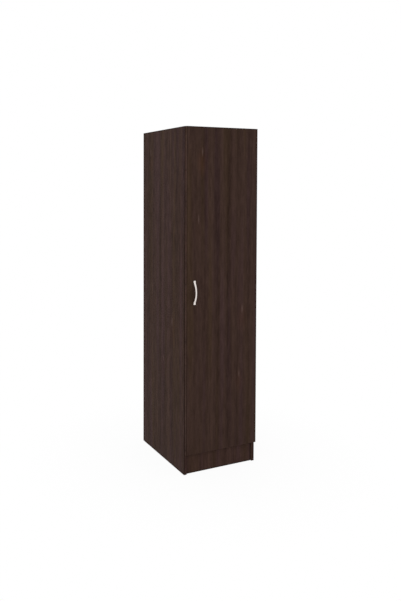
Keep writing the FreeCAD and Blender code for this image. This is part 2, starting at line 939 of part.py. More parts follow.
save("hinge_pins", [hinge_pin(hinge_z) for hinge_z in hinge_heights])
save("hinge_plate_screws", plate_screws)
save("hinge_arm_screws", arm_screws)
save("hinge_cup_screws", cup_screws)
save("door_panel", [door_panel()])
save("door_edge_bands", door_edge_bands())
save("bow_handle", [bow_handle()])
save("handle_screws", [screw(handle_screw, seat, rearward * -1) for seat in handle_screw_seats()])
save("strike_plate", [strike_plate().cut(strike_recess())])
save("strike_screw", [screw(strike_screw, strike_point() - rearward * strike_screw[1], rearward * -1)])
save("door_bumpers", door_bumpers())
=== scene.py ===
import json
import math
from collections import namedtuple

import bmesh
import bpy
from bpy.props import FloatProperty, FloatVectorProperty, PointerProperty
from bpy.types import Operator, Panel, PropertyGroup
from mathutils import Matrix, Vector

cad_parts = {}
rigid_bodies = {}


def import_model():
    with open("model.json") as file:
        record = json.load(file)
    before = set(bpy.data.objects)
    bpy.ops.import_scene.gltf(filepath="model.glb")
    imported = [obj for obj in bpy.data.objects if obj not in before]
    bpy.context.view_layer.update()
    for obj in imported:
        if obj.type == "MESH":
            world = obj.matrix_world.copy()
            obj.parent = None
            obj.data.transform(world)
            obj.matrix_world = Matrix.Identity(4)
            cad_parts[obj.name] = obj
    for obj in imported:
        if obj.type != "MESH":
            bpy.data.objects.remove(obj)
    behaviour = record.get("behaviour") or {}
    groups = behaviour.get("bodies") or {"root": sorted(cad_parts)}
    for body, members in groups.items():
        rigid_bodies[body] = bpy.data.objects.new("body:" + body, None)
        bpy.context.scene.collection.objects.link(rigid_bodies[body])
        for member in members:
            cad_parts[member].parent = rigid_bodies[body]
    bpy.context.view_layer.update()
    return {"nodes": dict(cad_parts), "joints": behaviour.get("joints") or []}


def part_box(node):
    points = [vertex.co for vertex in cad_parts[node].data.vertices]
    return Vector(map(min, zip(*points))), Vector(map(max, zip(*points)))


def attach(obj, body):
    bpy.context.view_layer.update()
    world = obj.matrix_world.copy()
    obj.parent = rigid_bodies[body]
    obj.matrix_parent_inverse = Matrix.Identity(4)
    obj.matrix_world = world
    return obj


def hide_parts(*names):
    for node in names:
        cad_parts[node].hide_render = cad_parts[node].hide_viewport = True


for spare in list(bpy.data.objects):
    bpy.data.objects.remove(spare)
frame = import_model()

bl_info = {
    "name": "Tall cupboard finishes",
    "version": (1, 0, 0),
    "blender": (4, 5, 0),
    "location": "3D View > Sidebar > Cupboard",
    "description": "Dresses a tall one-door cupboard: boards, bow handle, hinges and fittings",
    "category": "Object",
}

# Units, axes and places read from the frame

mm = 0.001
degree = math.pi / 180
right = Vector((1, 0, 0))
rear = Vector((0, 1, 0))
up = Vector((0, 0, 1))

side_boards = ("left_side_panel", "right_side_panel")
level_boards = ("top_panel", "bottom_panel", "fixed_shelf", "loose_shelf_1", "loose_shelf_2",
                "loose_shelf_3", "loose_shelf_4")
back_sheets = ("lower_back_panel", "upper_back_panel")
hinge_numbers = (1, 2, 3, 4)
hinge_axis = Vector(frame["joints"][0]["pos_m"])
carcass_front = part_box("side_edge_bands")[0].y
side_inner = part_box("right_side_panel")[0].x
side_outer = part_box("right_side_panel")[1].x
cupboard_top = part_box("left_side_panel")[1].z

# Screws, and the room that each has in its hole

Screw = namedtuple("Screw", "head_radius head_height shank_radius")
handle_screw = Screw(4.0 * mm, 2.2 * mm, 2.0 * mm)
plate_screw = Screw(3.7 * mm, 2.0 * mm, 2.4 * mm)
arm_screw = Screw(3.14 * mm, 1.8 * mm, 2.0 * mm)
fitting_screw = Screw(2.96 * mm, 1.6 * mm, 1.75 * mm)
flush_screw = Screw(2.9 * mm, 0.5 * mm, 1.75 * mm)
bore_clearance = 0.1 * mm

# How close counts as touching, how far the flat on a shelf pin lies above the pin's axis, and from
# which part of its normal on a face looks along an axis

touch = 0.1 * mm
pin_flat = 2.2 * mm
facing_limit = 0.5

# Flecks in the printed grain: place across, place along, half width and half length, in metres,
# and how warm the patch below each is, from 0 to 1

door_flecks = ((-0.136, 1.858, 0.007, 0.032, 1.0), (-0.160, 1.474, 0.006, 0.034, 0.2),
               (0.137, 0.938, 0.008, 0.030, 0.5), (0.116, 0.556, 0.006, 0.026, 0.5))
side_flecks = ((-0.100, 0.862, 0.009, 0.034, 0.4), (0.010, 0.620, 0.006, 0.030, 0.3),
               (0.190, 1.870, 0.006, 0.032, 0.5))

# Layers of the printed grain: width as a share of the pitch, length as a share of the run, detail
# and roughness; each layer of streaks ends with its weight

streak_layers = ((1.0, 1.0, 0.0, 0.5, 0.32), (0.42, 0.35, 1.0, 0.5, 0.40),
                 (0.36, 0.029, 2.0, 0.6, 0.80))
hue_layer = (1.1, 0.5, 1.0, 0.5)
fibre_layer = (1.0, 60.0, 2.0, 0.6)
pore_layer = (0.45, 12.0, 1.0, 0.5)
band_weight = 0.136
fibre_weight = 0.58
pore_weight = 0.22

# Where in its layer's noise each of these starts to show and shows in full, and the range that most
# of a noise lies in

pore_range = (0.60, 0.70)
violet_range = (0.46, 0.34)
olive_range = (0.54, 0.68)
noise_range = (0.3, 0.7)

# Tints in the printed grain, as factors on the foil's mean colour

dark_streak = (0.42, 0.39, 0.37)
light_streak = (1.58, 1.61, 1.63)
violet_lean = (1.00, 0.975, 1.15)
olive_lean = (0.995, 1.02, 0.86)
ruddy_patch = (1.15, 1.01, 0.91)
pale_fleck = (2.3, 2.6, 2.8)

# Where boards are cut from the endless grain: across, through and along, in metres, and how far
# the next board of a kind lies from the one before

side_stretch = Vector((6.583, -0.032, 19.9))
side_step = Vector((1.9, 0.6, 3.1))
level_stretch = Vector((5.3, 0, 2.2))
level_step = Vector((0.83, 0.4, 1.7))
front_stretch = Vector((6.611, 0, 15.274))
back_stretch = Vector((3.1, 0, 0.9))
back_step = Vector((1.3, 0, 2.3))
band_stretch = Vector((0.4, 0.2, 0.7))

# Colours of the plastics

strip_colour = (0.035, 0.024, 0.02)
cap_colour = (0.040, 0.027, 0.022)
catch_colour = (0.032, 0.022, 0.019)
nylon_colour = (0.27, 0.25, 0.23)
bumper_colour = (0.72, 0.71, 0.68)

# Lamps

key_place = (-4.0, -2.6, 1.6)
fill_place = (2.6, -3.8, 2.8)
lamp_size = 3.0

# Sizes and colours that a user would change


class CupboardBoards(PropertyGroup):
    carcass_colour: FloatVectorProperty(
        name="Carcass foil", description="Mean colour of the sides and shelves", subtype="COLOR",
        size=3, min=0, max=1, default=(0.0391, 0.0219, 0.0172))
    door_colour: FloatVectorProperty(
        name="Door foil", description="Mean colour of the door", subtype="COLOR",
        size=3, min=0, max=1, default=(0.0403, 0.0226, 0.0175))
    # Painted light: the plinth's foil is set lighter than the door's, so that it shows as bright as the
    # door in the shade under the door and by the floor
    plinth_lightened_colour: FloatVectorProperty(
        name="Plinth foil", description="Mean colour of the plinth", subtype="COLOR",
        size=3, min=0, max=1, default=(0.0468, 0.0254, 0.0199))
    band_colour: FloatVectorProperty(
        name="Edge banding", description="Mean colour of the bands on the boards' edges",
        subtype="COLOR", size=3, min=0, max=1, default=(0.0380, 0.0203, 0.0156))
    core_colour: FloatVectorProperty(
        name="Particle core", description="Mean colour of the bare board where it was cut",
        subtype="COLOR", size=3, min=0, max=1, default=(0.42, 0.30, 0.17))
    hardboard_colour: FloatVectorProperty(
        name="Bare hardboard", description="Mean colour of the back sheets' rear face",
        subtype="COLOR", size=3, min=0, max=1, default=(0.24, 0.145, 0.075))
    streak_pitch: FloatProperty(
        name="Streak pitch", description="Width of the broad streaks across the grain",
        default=0.034, min=0.005, max=0.2, subtype="DISTANCE", unit="LENGTH")
    band_spacing: FloatProperty(
        name="Band spacing", description="Distance between the evenly spaced dark streaks",
        default=0.074, min=0.01, max=0.5, subtype="DISTANCE", unit="LENGTH")
    streak_run: FloatProperty(
        name="Streak run", description="Length of the broad streaks along the grain",
        default=2.6, min=0.1, max=8, subtype="DISTANCE", unit="LENGTH")
    fibre_pitch: FloatProperty(
        name="Fibre pitch", description="Width of the fine lines across the grain",
        default=0.0018, min=0.0003, max=0.01, subtype="DISTANCE", unit="LENGTH")
    carcass_figure: FloatProperty(
        name="Carcass figure", description="How far the carcass's streaks depart from its mean colour",
        default=1.18, min=0, max=3, subtype="FACTOR")
    door_figure: FloatProperty(
        name="Door figure", description="How far the door's streaks depart from its mean colour",
        default=0.88, min=0, max=3, subtype="FACTOR")
    # Painted shade beside the boards' edges, partly the glue line of real banding; the plinth's own
    # reach is for painted shade at its ends, where the sides shade it, and along its foot by the floor
    edge_shade: FloatProperty(
        name="Joint shade", description="How much darker the foil is beside its banded edges",
        default=0.55, min=0, max=1, subtype="FACTOR")
    edge_shade_reach: FloatProperty(
        name="Joint reach", description="How far the shade beside an edge reaches into the face",
        default=0.006, min=0.0005, max=0.03, subtype="DISTANCE", unit="LENGTH")
    plinth_reach: FloatProperty(
        name="Plinth reach", description="How far the shade beside the plinth's ends and foot reaches",
        default=0.010, min=0.0005, max=0.03, subtype="DISTANCE", unit="LENGTH")
    # Painted shade at the outer edges of the sides' bands
    rim_shade: FloatProperty(
        name="Rim shade", description="How much darker the sides' bands are at their outer edges",
        default=0.75, min=0, max=1, subtype="FACTOR")
    foil_roughness: FloatProperty(
        name="Foil roughness", description="Mean roughness of the matt foil",
        default=0.52, min=0, max=1, subtype="FACTOR")
    foil_gloss: FloatProperty(
        name="Foil gloss", description="Specular level of the matt foil",
        default=0.08, min=0, max=1, subtype="FACTOR")
    foil_ior: FloatProperty(
        name="Foil refraction", description="Index of refraction of the matt foil, low for low glare",
        default=1.2, min=1.01, max=2)


class CupboardMetal(PropertyGroup):
    handle_colour: FloatVectorProperty(
        name="Satin nickel", description="Colour of the bow handle", subtype="COLOR",
        size=3, min=0, max=1, default=(0.80, 0.735, 0.70))
    steel_colour: FloatVectorProperty(
        name="Plated steel", description="Colour of the hinges, their screws and the shelf pins",
        subtype="COLOR", size=3, min=0, max=1, default=(0.66, 0.65, 0.62))
    zinc_colour: FloatVectorProperty(
        name="Zinc", description="Colour of the cams, catch, bracket and the other screws",
        subtype="COLOR", size=3, min=0, max=1, default=(0.52, 0.53, 0.54))
    handle_edge: FloatProperty(
        name="Handle edge", description="Radius of the bow handle's long edges",
        default=0.0010, min=0.0002, max=0.0020, subtype="DISTANCE", unit="LENGTH")
    metal_edge: FloatProperty(
        name="Pressed edge", description="Radius of the edges of pressed steel",
        default=0.00025, min=0.00005, max=0.001, subtype="DISTANCE", unit="LENGTH")


class CupboardStudio(PropertyGroup):
    camera_place: FloatVectorProperty(
        name="Camera place", description="Where the camera stands", subtype="TRANSLATION",
        unit="LENGTH", size=3, default=(-1.9602, -3.3909, 1.6619))
    camera_turn: FloatProperty(
        name="Camera turn", description="How far the camera looks from the rear towards the right",
        default=24.586 * degree, subtype="ANGLE", unit="ROTATION")
    camera_tip: FloatProperty(
        name="Camera tip", description="How far the camera looks below the horizon",
        default=2.115 * degree, subtype="ANGLE", unit="ROTATION")
    focal_pixels: FloatProperty(
        name="Focal length", description="Focal length in pixels of the picture", default=632.06,
        min=100, max=5000)
    centre_pixels: FloatVectorProperty(
        name="Picture centre", description="Pixel that the camera's axis passes through", size=2,
        default=(138.97, 209.43))
    floor_size: FloatProperty(
        name="Floor size", description="Side of the square floor", default=14.0, min=2, max=50,
        subtype="DISTANCE", unit="LENGTH")
    sky_level: FloatProperty(
        name="Sky level", description="Strength of the soft light from all round", default=0.78,
        min=0, max=2)
    key_power: FloatProperty(
        name="Key lamp", description="Power of the large lamp at the left", default=87,
        min=0, max=2000, unit="POWER")
    fill_power: FloatProperty(
        name="Fill lamp", description="Power of the large lamp at the front right", default=14,
        min=0, max=2000, unit="POWER")


# Modelling by hand: primitives, cuts, joins and soft edges


def deselect():
    bpy.ops.object.select_all(action="DESELECT")


def alone(*pieces):
    """Select only these pieces; the first is the active one."""
    deselect()
    for piece in pieces:
        piece.select_set(True)
    bpy.context.view_layer.objects.active = pieces[0]


def put_in_mesh(piece):
    """Move a piece's place, turn and size into its mesh."""
    alone(piece)
    bpy.ops.object.transform_apply(location=True, rotation=True, scale=True)
    return piece


def block(low, high):
    """A block between two corners."""
    low, high = Vector(low), Vector(high)
    deselect()
    bpy.ops.mesh.primitive_cube_add(size=1, location=(low + high) / 2)
    piece = bpy.context.object
    piece.scale = high - low
    return put_in_mesh(piece)


def rod(start, end, radius, sides=32):
    """A round bar between two points."""
    start, end = Vector(start), Vector(end)
    deselect()
    turn = (end - start).to_track_quat("Z", "Y").to_euler()
    bpy.ops.mesh.primitive_cylinder_add(vertices=sides, radius=radius, depth=(end - start).length,
                                        location=(start + end) / 2, rotation=turn)
    return put_in_mesh(bpy.context.object)


def start_edit():
    """Edit the active piece with all of it selected."""
    bpy.ops.object.mode_set(mode="EDIT")
    bpy.ops.mesh.select_all(action="SELECT")


def face_outwards():
    """Turn the faces of the closed piece that is being edited outwards, and end the edit."""
    bpy.ops.mesh.select_all(action="SELECT")
    bpy.ops.mesh.normals_make_consistent(inside=False)
    bpy.ops.object.mode_set(mode="OBJECT")


def turned(stations, sides=32):
    """A piece turned on the Z axis, drawn out from height and radius to height and radius."""
    height, radius = stations[0]
    deselect()
    bpy.ops.mesh.primitive_circle_add(vertices=sides, radius=radius, fill_type="NGON",
                                      location=(0, 0, height))
    piece = put_in_mesh(bpy.context.object)
    start_edit()
    for next_height, next_radius in stations[1:]:
        rise = (0, 0, next_height - height)
        ratio = next_radius / radius
        bpy.ops.mesh.extrude_region_move(TRANSFORM_OT_translate={"value": rise})
        bpy.ops.transform.resize(value=(ratio, ratio, 1), center_override=(0, 0, next_height))
        height, radius = next_height, next_radius
    face_outwards()
    return piece


def combine(piece, tool, operation):
    """Cut, fuse or intersect a piece with a tool, which is used up."""
    alone(piece)
    bpy.ops.object.modifier_add(type="BOOLEAN")
    modifier = piece.modifiers[-1]
    modifier.operation = operation
    modifier.solver = "EXACT"
    modifier.object = tool
    bpy.ops.object.modifier_apply(modifier=modifier.name)
    bpy.data.objects.remove(tool)
    return piece


def cut(piece, tool):
    return combine(piece, tool, "DIFFERENCE")


def fuse(piece, tool):
    return combine(piece, tool, "UNION")


def cross_tool(reach, half, low, high):
    """Two crossed blocks that cut a screwdriver's recess."""
    first = block((-reach, -half, low), (reach, half, high))
    return fuse(first, block((-half, -reach, low), (half, reach, high)))


def soften(piece, radius, segments=2, angle=32 * degree):
    """Round a piece's sharp edges."""
    alone(piece)
    bpy.ops.object.modifier_add(type="BEVEL")
    modifier = piece.modifiers[-1]
    modifier.limit_method = "ANGLE"
    modifier.angle_limit = angle
    modifier.width = radius
    modifier.segments = segments
    modifier.use_clamp_overlap = True
    bpy.ops.object.modifier_apply(modifier=modifier.name)
    return piece


def round_edges(piece, radius, segments, test):
    """Bevel the edges whose middle and run pass a test."""
    alone(piece)
    bpy.ops.object.mode_set(mode="EDIT")
    bpy.ops.mesh.select_mode(type="EDGE")
    bpy.ops.mesh.select_all(action="DESELECT")
    mesh = bmesh.from_edit_mesh(piece.data)
    for edge in mesh.edges:
        first, last = (vert.co for vert in edge.verts)
        if test((first + last) / 2, last - first):
            edge.select_set(True)
    bmesh.update_edit_mesh(piece.data)
    bpy.ops.mesh.bevel(offset=radius, segments=segments, affect="EDGES")
    bpy.ops.object.mode_set(mode="OBJECT")
    return piece


def runs_along(axis):
    """A test that an edge passes when it runs along an axis."""
    return lambda middle, run: abs(run.dot(axis)) > run.length / 2


def stand(point, out, side=None):
    """A place whose Z looks out and whose X looks to a side."""
    out = Vector(out).normalized()
    if side is None:
        side = right if abs(out.x) < abs(out.y) + abs(out.z) else rear
    back = out.cross(side).normalized()
    turn = Matrix((back.cross(out), back, out)).transposed().to_4x4()
    return Matrix.Translation(point) @ turn


def repeat(pattern, places):
    """Copy a pattern to each place, each copy with its own mesh, and join the copies."""
    copies = []
    for place in places:
        alone(pattern)
        bpy.ops.object.duplicate(linked=False)
        copy = bpy.context.object
        copy.matrix_world = place
        copies.append(put_in_mesh(copy))
    bpy.data.objects.remove(pattern)
    alone(*copies)
    if len(copies) > 1:
        bpy.ops.object.join()
    return copies[0]


def settle(piece, name, body, node, material):
    """Name a finished piece, finish its faces and let it ride in its node's place."""
    piece.name = name
    piece.data.name = name
    put_in_mesh(piece)
    bpy.ops.object.shade_smooth_by_angle(angle=35 * degree)
    piece.data.materials.clear()
    piece.data.materials.append(material)
    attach(piece, body)
    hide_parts(node)
    return piece


def dress_node(node, material):
    """Give a CAD node that stays in view its material."""
    mesh = frame["nodes"][node].data
    mesh.materials.clear()
    mesh.materials.append(material)


# Separate solids of a CAD node


def solid_boxes(node):
    """Lowest and highest corners of each separate solid in a CAD node."""
    merge_distance = 0.001 * mm
    mesh = bmesh.new()
    mesh.from_mesh(frame["nodes"][node].data)
    bmesh.ops.remove_doubles(mesh, verts=mesh.verts, dist=merge_distance)
    boxes = []
    seen = set()
    for first in mesh.verts:
        if first in seen:
            continue
        seen.add(first)
        solid = [first]
        for vert in solid:
            for edge in vert.link_edges:
                other = edge.other_vert(vert)
                if other not in seen:
                    seen.add(other)
                    solid.append(other)
        low = Vector(min(vert.co[axis] for vert in solid) for axis in range(3))
        high = Vector(max(vert.co[axis] for vert in solid) for axis in range(3))
        boxes.append((low, high))
    mesh.free()
    return boxes


def solids(node):
    """Middle, lowest and highest corner of each separate solid in a CAD node."""
    return [((low + high) / 2, low, high) for low, high in solid_boxes(node)]


def solid_length(node):
    """Longest side of a CAD node's first solid."""
    low, high = solid_boxes(node)[0]
    return max(high - low)


def seats(node, into, screw):
    """Where each screw of a node seats, as places that look out of the work."""
    places = []
    axis = max(range(3), key=lambda index: abs(into[index]))
    for point, low, high in solids(node):
        point[axis] = low[axis] + screw.head_height if into[axis] > 0 else high[axis] - screw.head_height
        places.append(stand(point, -into))
    return places


def bore_seats(piece, node, into, screw, before, beyond, height=None, reach=None):
    """Bore a hole through each screw's seat, or only through the seats within reach of a height."""
    for place in seats(node, into, screw):
        point = place.translation
        if height is None or abs(point.z - height) < reach:
            cut(piece, rod(point - into * before, point + into * beyond,
                           screw.shank_radius + bore_clearance, sides=24))


# Shader building


class Field:
    """A socket in a shader tree, on which sums are written as sums."""

    def __init__(self, tree, socket):
        self.tree = tree
        self.socket = socket

    def __add__(self, other):
        return maths("ADD", self, other)

    def __sub__(self, other):
        return maths("SUBTRACT", self, other)

    def __rsub__(self, other):
        return maths("SUBTRACT", other, self)

    def __mul__(self, other):
        return maths("MULTIPLY", self, other)


def add_node(kind, inputs, output=0, tree=None, **settings):
    """Add a shader node, make its choices, link or fill its inputs, and give one output as a field;
    only a node that no field reaches needs to be told its tree."""
    tree = tree or next(value.tree for value in inputs.values() if isinstance(value, Field))
    made = tree.nodes.new("ShaderNode" + kind)
    for name, value in settings.items():
        setattr(made, name, value)
    for key, value in inputs.items():
        if isinstance(value, Field):
            tree.links.new(value.socket, made.inputs[key])
        else:
            made.inputs[key].default_value = value
    return Field(tree, made.outputs[output]) if made.outputs else None


def maths(operation, first, second=0.0, clamp=False):
    return add_node("Math", {0: first, 1: second}, operation=operation, use_clamp=clamp)


def vector_maths(operation, first, second):
    return add_node("VectorMath", {0: first, 1: second}, operation=operation)


def length_of(vector):
    return add_node("VectorMath", {0: vector}, "Value", operation="LENGTH")


def outputs_of(field):
    """All that a field's node gives, by name."""
    return {output.name: Field(field.tree, output) for output in field.socket.node.outputs}


def parts_of(vector):
    """The X, Y and Z of a vector, by their letters."""
    return outputs_of(add_node("SeparateXYZ", {0: vector}))


def vector_of(first, second=0.0, third=0.0):
    return add_node("CombineXYZ", {0: first, 1: second, 2: third})


def noise(place, scale, detail=2.0, roughness=0.5):
    return add_node("TexNoise", {"Vector": place, "Scale": scale, "Detail": detail,
                                 "Roughness": roughness})


def spread(value, low, high, new_low=0.0, new_high=1.0):
    """Map a value's range to a new range, held within it."""
    return add_node("MapRange", {"Value": value, "From Min": low, "From Max": high,
                                 "To Min": new_low, "To Max": new_high})


def off_centre(field, weight):
    """A noise field's departure from its middle, times a weight."""
    return (field - 0.5) * weight


def around(middle, *layers):
    """A middle value and layers of noise round it, each a field and its weight, held from 0 to 1."""
    total = middle
    for field, weight in layers:
        total = off_centre(field, weight) + total
    return maths("ADD", total, clamp=True)


def mix_colours(share, first, second, blend_type="MIX"):
    return add_node("Mix", {0: share, 6: first, 7: second}, 2, data_type="RGBA",
                    blend_type=blend_type)


def times_colour(first, second):
    return mix_colours(1.0, first, second, "MULTIPLY")


def tint(colour, factors=(1, 1, 1)):
    """A colour for a socket, each part times its factor."""
    return (*(part * factor for part, factor in zip(colour, factors)), 1)


def grey(level):
    return (level, level, level)


def shaded(share, colour, dark, light):
    """A colour that goes from its dark tint to its light one."""
    return mix_colours(share, tint(colour, dark), tint(colour, light))


def object_place(tree):
    return add_node("TexCoord", {}, "Object", tree)


def facing(tree):
    """The way a face looks, in its parts along the axes."""
    return parts_of(add_node("TexCoord", {}, "Normal", tree))


def start_material(name):
    """A new material with an empty tree."""
    material = bpy.data.materials.new(name)
    material.use_nodes = True
    material.node_tree.nodes.clear()
    return material, material.node_tree


def end_material(colour, roughness, relief, depth, constants):
    """Close a material with its main shader; its relief has a depth in metres, and constants are
    set on the shader's own sockets."""
    face = add_node("Bump", {"Height": relief, "Distance": depth, "Strength": 1.0})
    shader = add_node("BsdfPrincipled", {"Base Color": colour, "Roughness": roughness,
                                         "Normal": face, **constants})
    add_node("OutputMaterial", {"Surface": shader})


# Wood-grain foil


def third_axis(across, along):
    """The axis that goes through a board."""
    return next(axis for axis in "XYZ" if axis not in (across, along))


def board_place(tree, across, along, stretch):
    """A point of the endless grain: X across it, Y through the board, Z along it, in metres."""
    parts = parts_of(object_place(tree))
    place = vector_of(parts[across], parts[third_axis(across, along)], parts[along])
    return vector_maths("ADD", place, stretch)


def drawn_noise(place, pitch, run, detail=2.0, roughness=0.5):
    """Noise drawn out along the grain."""
    return noise(vector_maths("MULTIPLY", place, (1 / pitch, 1.0, 1 / run)), 1.0, detail, roughness)


def spot_field(tree, across, along, spots):
    """Soft oval spots: each has its place across and along, half width, half length and strength."""
    parts = parts_of(object_place(tree))
    place = vector_of(parts[across], parts[along])
    rim, heart = 1.0, 0.2
    total = 0.0
    for side, height, half_width, half_length, strength in spots:
        away = vector_maths("SUBTRACT", place, (side, height, 0))
        away = vector_maths("MULTIPLY", away, (1 / half_width, 1 / half_length, 0))
        total = maths("MAXIMUM", spread(length_of(away), rim, heart, 0.0, strength), total)
    return total


def even_streaks(place, spacing):
    """The evenly spaced dark and light bands of the print, from 0 to 1, each a little out of place."""
    drift_pitch, drift_run, drift_turn = 0.22, 2.4, 5.0
    drift = drawn_noise(place, drift_pitch, drift_run, detail=0.0)
    phase = parts_of(place)["X"] * (2 * math.pi / spacing)
    return spread(maths("SINE", phase + off_centre(drift, drift_turn)), -1.0, 1.0)


def printed_foil(place, colour, boards, strength):
    """The foil's printed grain: its colour, and its fine fibres and pores as fields from 0 to 1."""
    sway_pitch, sway_run, sway_reach = 0.16, 1.1, 0.014
    sway = drawn_noise(place, sway_pitch, sway_run, detail=1.0)
    place = vector_maths("ADD", place, vector_of(off_centre(sway, sway_reach)))

    def layer(pitch, run, pitch_share, run_share, detail, roughness):
        return drawn_noise(place, pitch * pitch_share, run * run_share, detail, roughness)

    fine = (boards.fibre_pitch, boards.fibre_pitch)
    broad = (boards.streak_pitch, boards.streak_run)
    fibre = layer(*fine, *fibre_layer)
    pore = spread(layer(*fine, *pore_layer), *pore_range)
    layers = [(fibre, fibre_weight * strength),
              (even_streaks(place, boards.band_spacing), band_weight * strength)]
    for *shape, weight in streak_layers:
        layers.append((layer(*broad, *shape), weight * strength))
    pitted = 0.5 - pore * (pore_weight * strength)
    printed = shaded(around(pitted, *layers), colour, dark_streak, light_streak)
    hue = around(0.5, (layer(*broad, *hue_layer), strength))
    lean = mix_colours(spread(hue, *violet_range), tint(grey(1)), tint(violet_lean))
    lean = mix_colours(spread(hue, *olive_range), lean, tint(olive_lean))
    return times_colour(printed, lean), fibre, pore


def flecked(printed, colour, across, along, flecks):
    """Light flecks, each with a warm patch beside and below it, over the printed grain."""
    glow_strength = 0.65
    aside, below, patch_width, patch_length = 0.4, 1.9, 5.5, 3.2
    glows = [(*fleck[:4], glow_strength) for fleck in flecks]
    patches = [(side - aside * half_width, height - below * half_length, patch_width * half_width,
                patch_length * half_length, warmth)
               for side, height, half_width, half_length, warmth in flecks]
    glow = spot_field(printed.tree, across, along, glows)
    warm = spot_field(printed.tree, across, along, patches)
    ruddy = mix_colours(warm, tint(grey(1)), tint(ruddy_patch))
    return mix_colours(glow, times_colour(printed, ruddy), tint(colour, pale_fleck))


def particle_core(tree, colour):
    """Bare pressed chips where the board was sawn or drilled."""
    chip_scale, dust_scale = 420.0, 160.0
    chip_weight, dust_weight = 0.6, 0.4
    deep_chip, bright_chip = (0.5, 0.46, 0.42), grey(1.4)
    place = object_place(tree)
    chips = add_node("TexVoronoi", {"Vector": place, "Scale": chip_scale}, "Color")
    chip = add_node("SeparateColor", {0: chips})
    dust = noise(place, dust_scale, detail=3.0)
    return shaded(chip * chip_weight + dust * dust_weight, colour, deep_chip, bright_chip)


def bare_share(tree, faced, banded_above=None):
    """One where the board's core shows: on faces that look along neither foil face."""
    bare = maths("LESS_THAN", maths("ABSOLUTE", facing(tree)[faced]), facing_limit)
    if banded_above is None:
        return bare
    return bare * maths("LESS_THAN", parts_of(object_place(tree))["Z"], banded_above)


def shade_and_glue_line(tree, node, edges, reach, shade):
    """Darker beside a board's banded edges: partly the glue line that real bands have, partly painted
    shade; an edge is an axis letter with its end, - or +.
    """
    low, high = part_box(node)
    parts = parts_of(object_place(tree))
    nearest = reach
    for axis, end in edges:
        limit = (low if end == "-" else high)["XYZ".index(axis)]
        nearest = maths("MINIMUM", nearest, maths("ABSOLUTE", parts[axis] - limit))
    return spread(nearest, 0.0, reach, 1 - shade, 1.0)


def band_rim_shade(tree, boards):
    """Painted shade beside the outer edges of the sides' bands."""
    inside = side_outer - maths("ABSOLUTE", parts_of(object_place(tree))["X"])
    return spread(inside, 0.0, boards.edge_shade_reach, 1 - boards.rim_shade, 1.0)


def foil_sheen(boards):
    """The sockets that keep the foil matt."""
    return {"Specular IOR Level": boards.foil_gloss, "IOR": boards.foil_ior}


def foil_board(name, colour, figure, across, along, stretch, boards, banded_above=None,
               flecks=(), shaded_edges=None):
    """Matt foil with printed grain on particle board; the last argument gives a node, its edges and a
    reach for painted shade, partly a glue line, beside those edges.
    """
    bare_roughness, haze_roughness, fibre_roughness = 0.35, 0.12, 0.10
    haze_scale, pore_relief, grain_depth = 7.0, 1.5, 0.03 * mm
    material, tree = start_material(name)
    place = board_place(tree, across, along, stretch)
    printed, fibre, pore = printed_foil(place, colour, boards, figure)
    if flecks:
        printed = flecked(printed, colour, across, along, flecks)
    if shaded_edges:
        # Painted shade, partly a glue line, beside the chosen edges
        printed = times_colour(printed, shade_and_glue_line(tree, *shaded_edges, boards.edge_shade))
    bare = bare_share(tree, third_axis(across, along), banded_above)
    colour_out = mix_colours(bare, printed, particle_core(tree, boards.core_colour))
    haze = noise(object_place(tree), haze_scale, detail=3.0)
    rough = around(bare * bare_roughness + boards.foil_roughness, (haze, haze_roughness),
                   (fibre, fibre_roughness))
    end_material(colour_out, rough, fibre - pore * pore_relief, grain_depth, foil_sheen(boards))
    return material


def back_sheet_foil(name, stretch, boards):
    """Thin hardboard: printed grain on the front face, bare pressed fibre behind."""
    cloud_scale, fluff_scale = 9.0, 700.0
    cloud_weight, fluff_weight = 0.7, 1.1
    dark_fibre, pale_fibre = (0.72, 0.68, 0.62), (1.25, 1.28, 1.3)
    smoothest, roughest, bare_roughness, fluff_depth = 0.5, 0.72, 0.12, 0.05 * mm
    material, tree = start_material(name)
    place = board_place(tree, "X", "Z", stretch)
    printed = printed_foil(place, boards.carcass_colour, boards, boards.carcass_figure)[0]
    cloud = noise(object_place(tree), cloud_scale, detail=5.0)
    fluff = noise(object_place(tree), fluff_scale)
    brown = shaded(around(0.5, (cloud, cloud_weight), (fluff, fluff_weight)),
                   boards.hardboard_colour, dark_fibre, pale_fibre)
    behind = maths("GREATER_THAN", facing(tree)["Y"], -facing_limit)
    rough = spread(fluff, *noise_range, smoothest, roughest) + behind * bare_roughness
    end_material(mix_colours(behind, printed, brown), rough, fluff, fluff_depth, foil_sheen(boards))
    return material


def band_foil(name, colour, along, boards, rim_shaded=False):
    """Satin banding whose grain runs along each band, with painted shade at the outer rim where it edges
    the sides.
    """
    smoothest, roughest, grain_depth = 0.42, 0.55, 0.02 * mm
    material, tree = start_material(name)
    place = board_place(tree, "X" if along == "Z" else "Z", along, band_stretch)
    printed, fibre = printed_foil(place, colour, boards, boards.carcass_figure)[:2]
    if rim_shaded:
        # Painted shade at the bands' outer edges
        printed = times_colour(printed, band_rim_shade(tree, boards))
    rough = spread(fibre, *noise_range, smoothest, roughest)
    end_material(printed, rough, fibre, grain_depth, foil_sheen(boards))
    return material


# Metals, plastics and beech


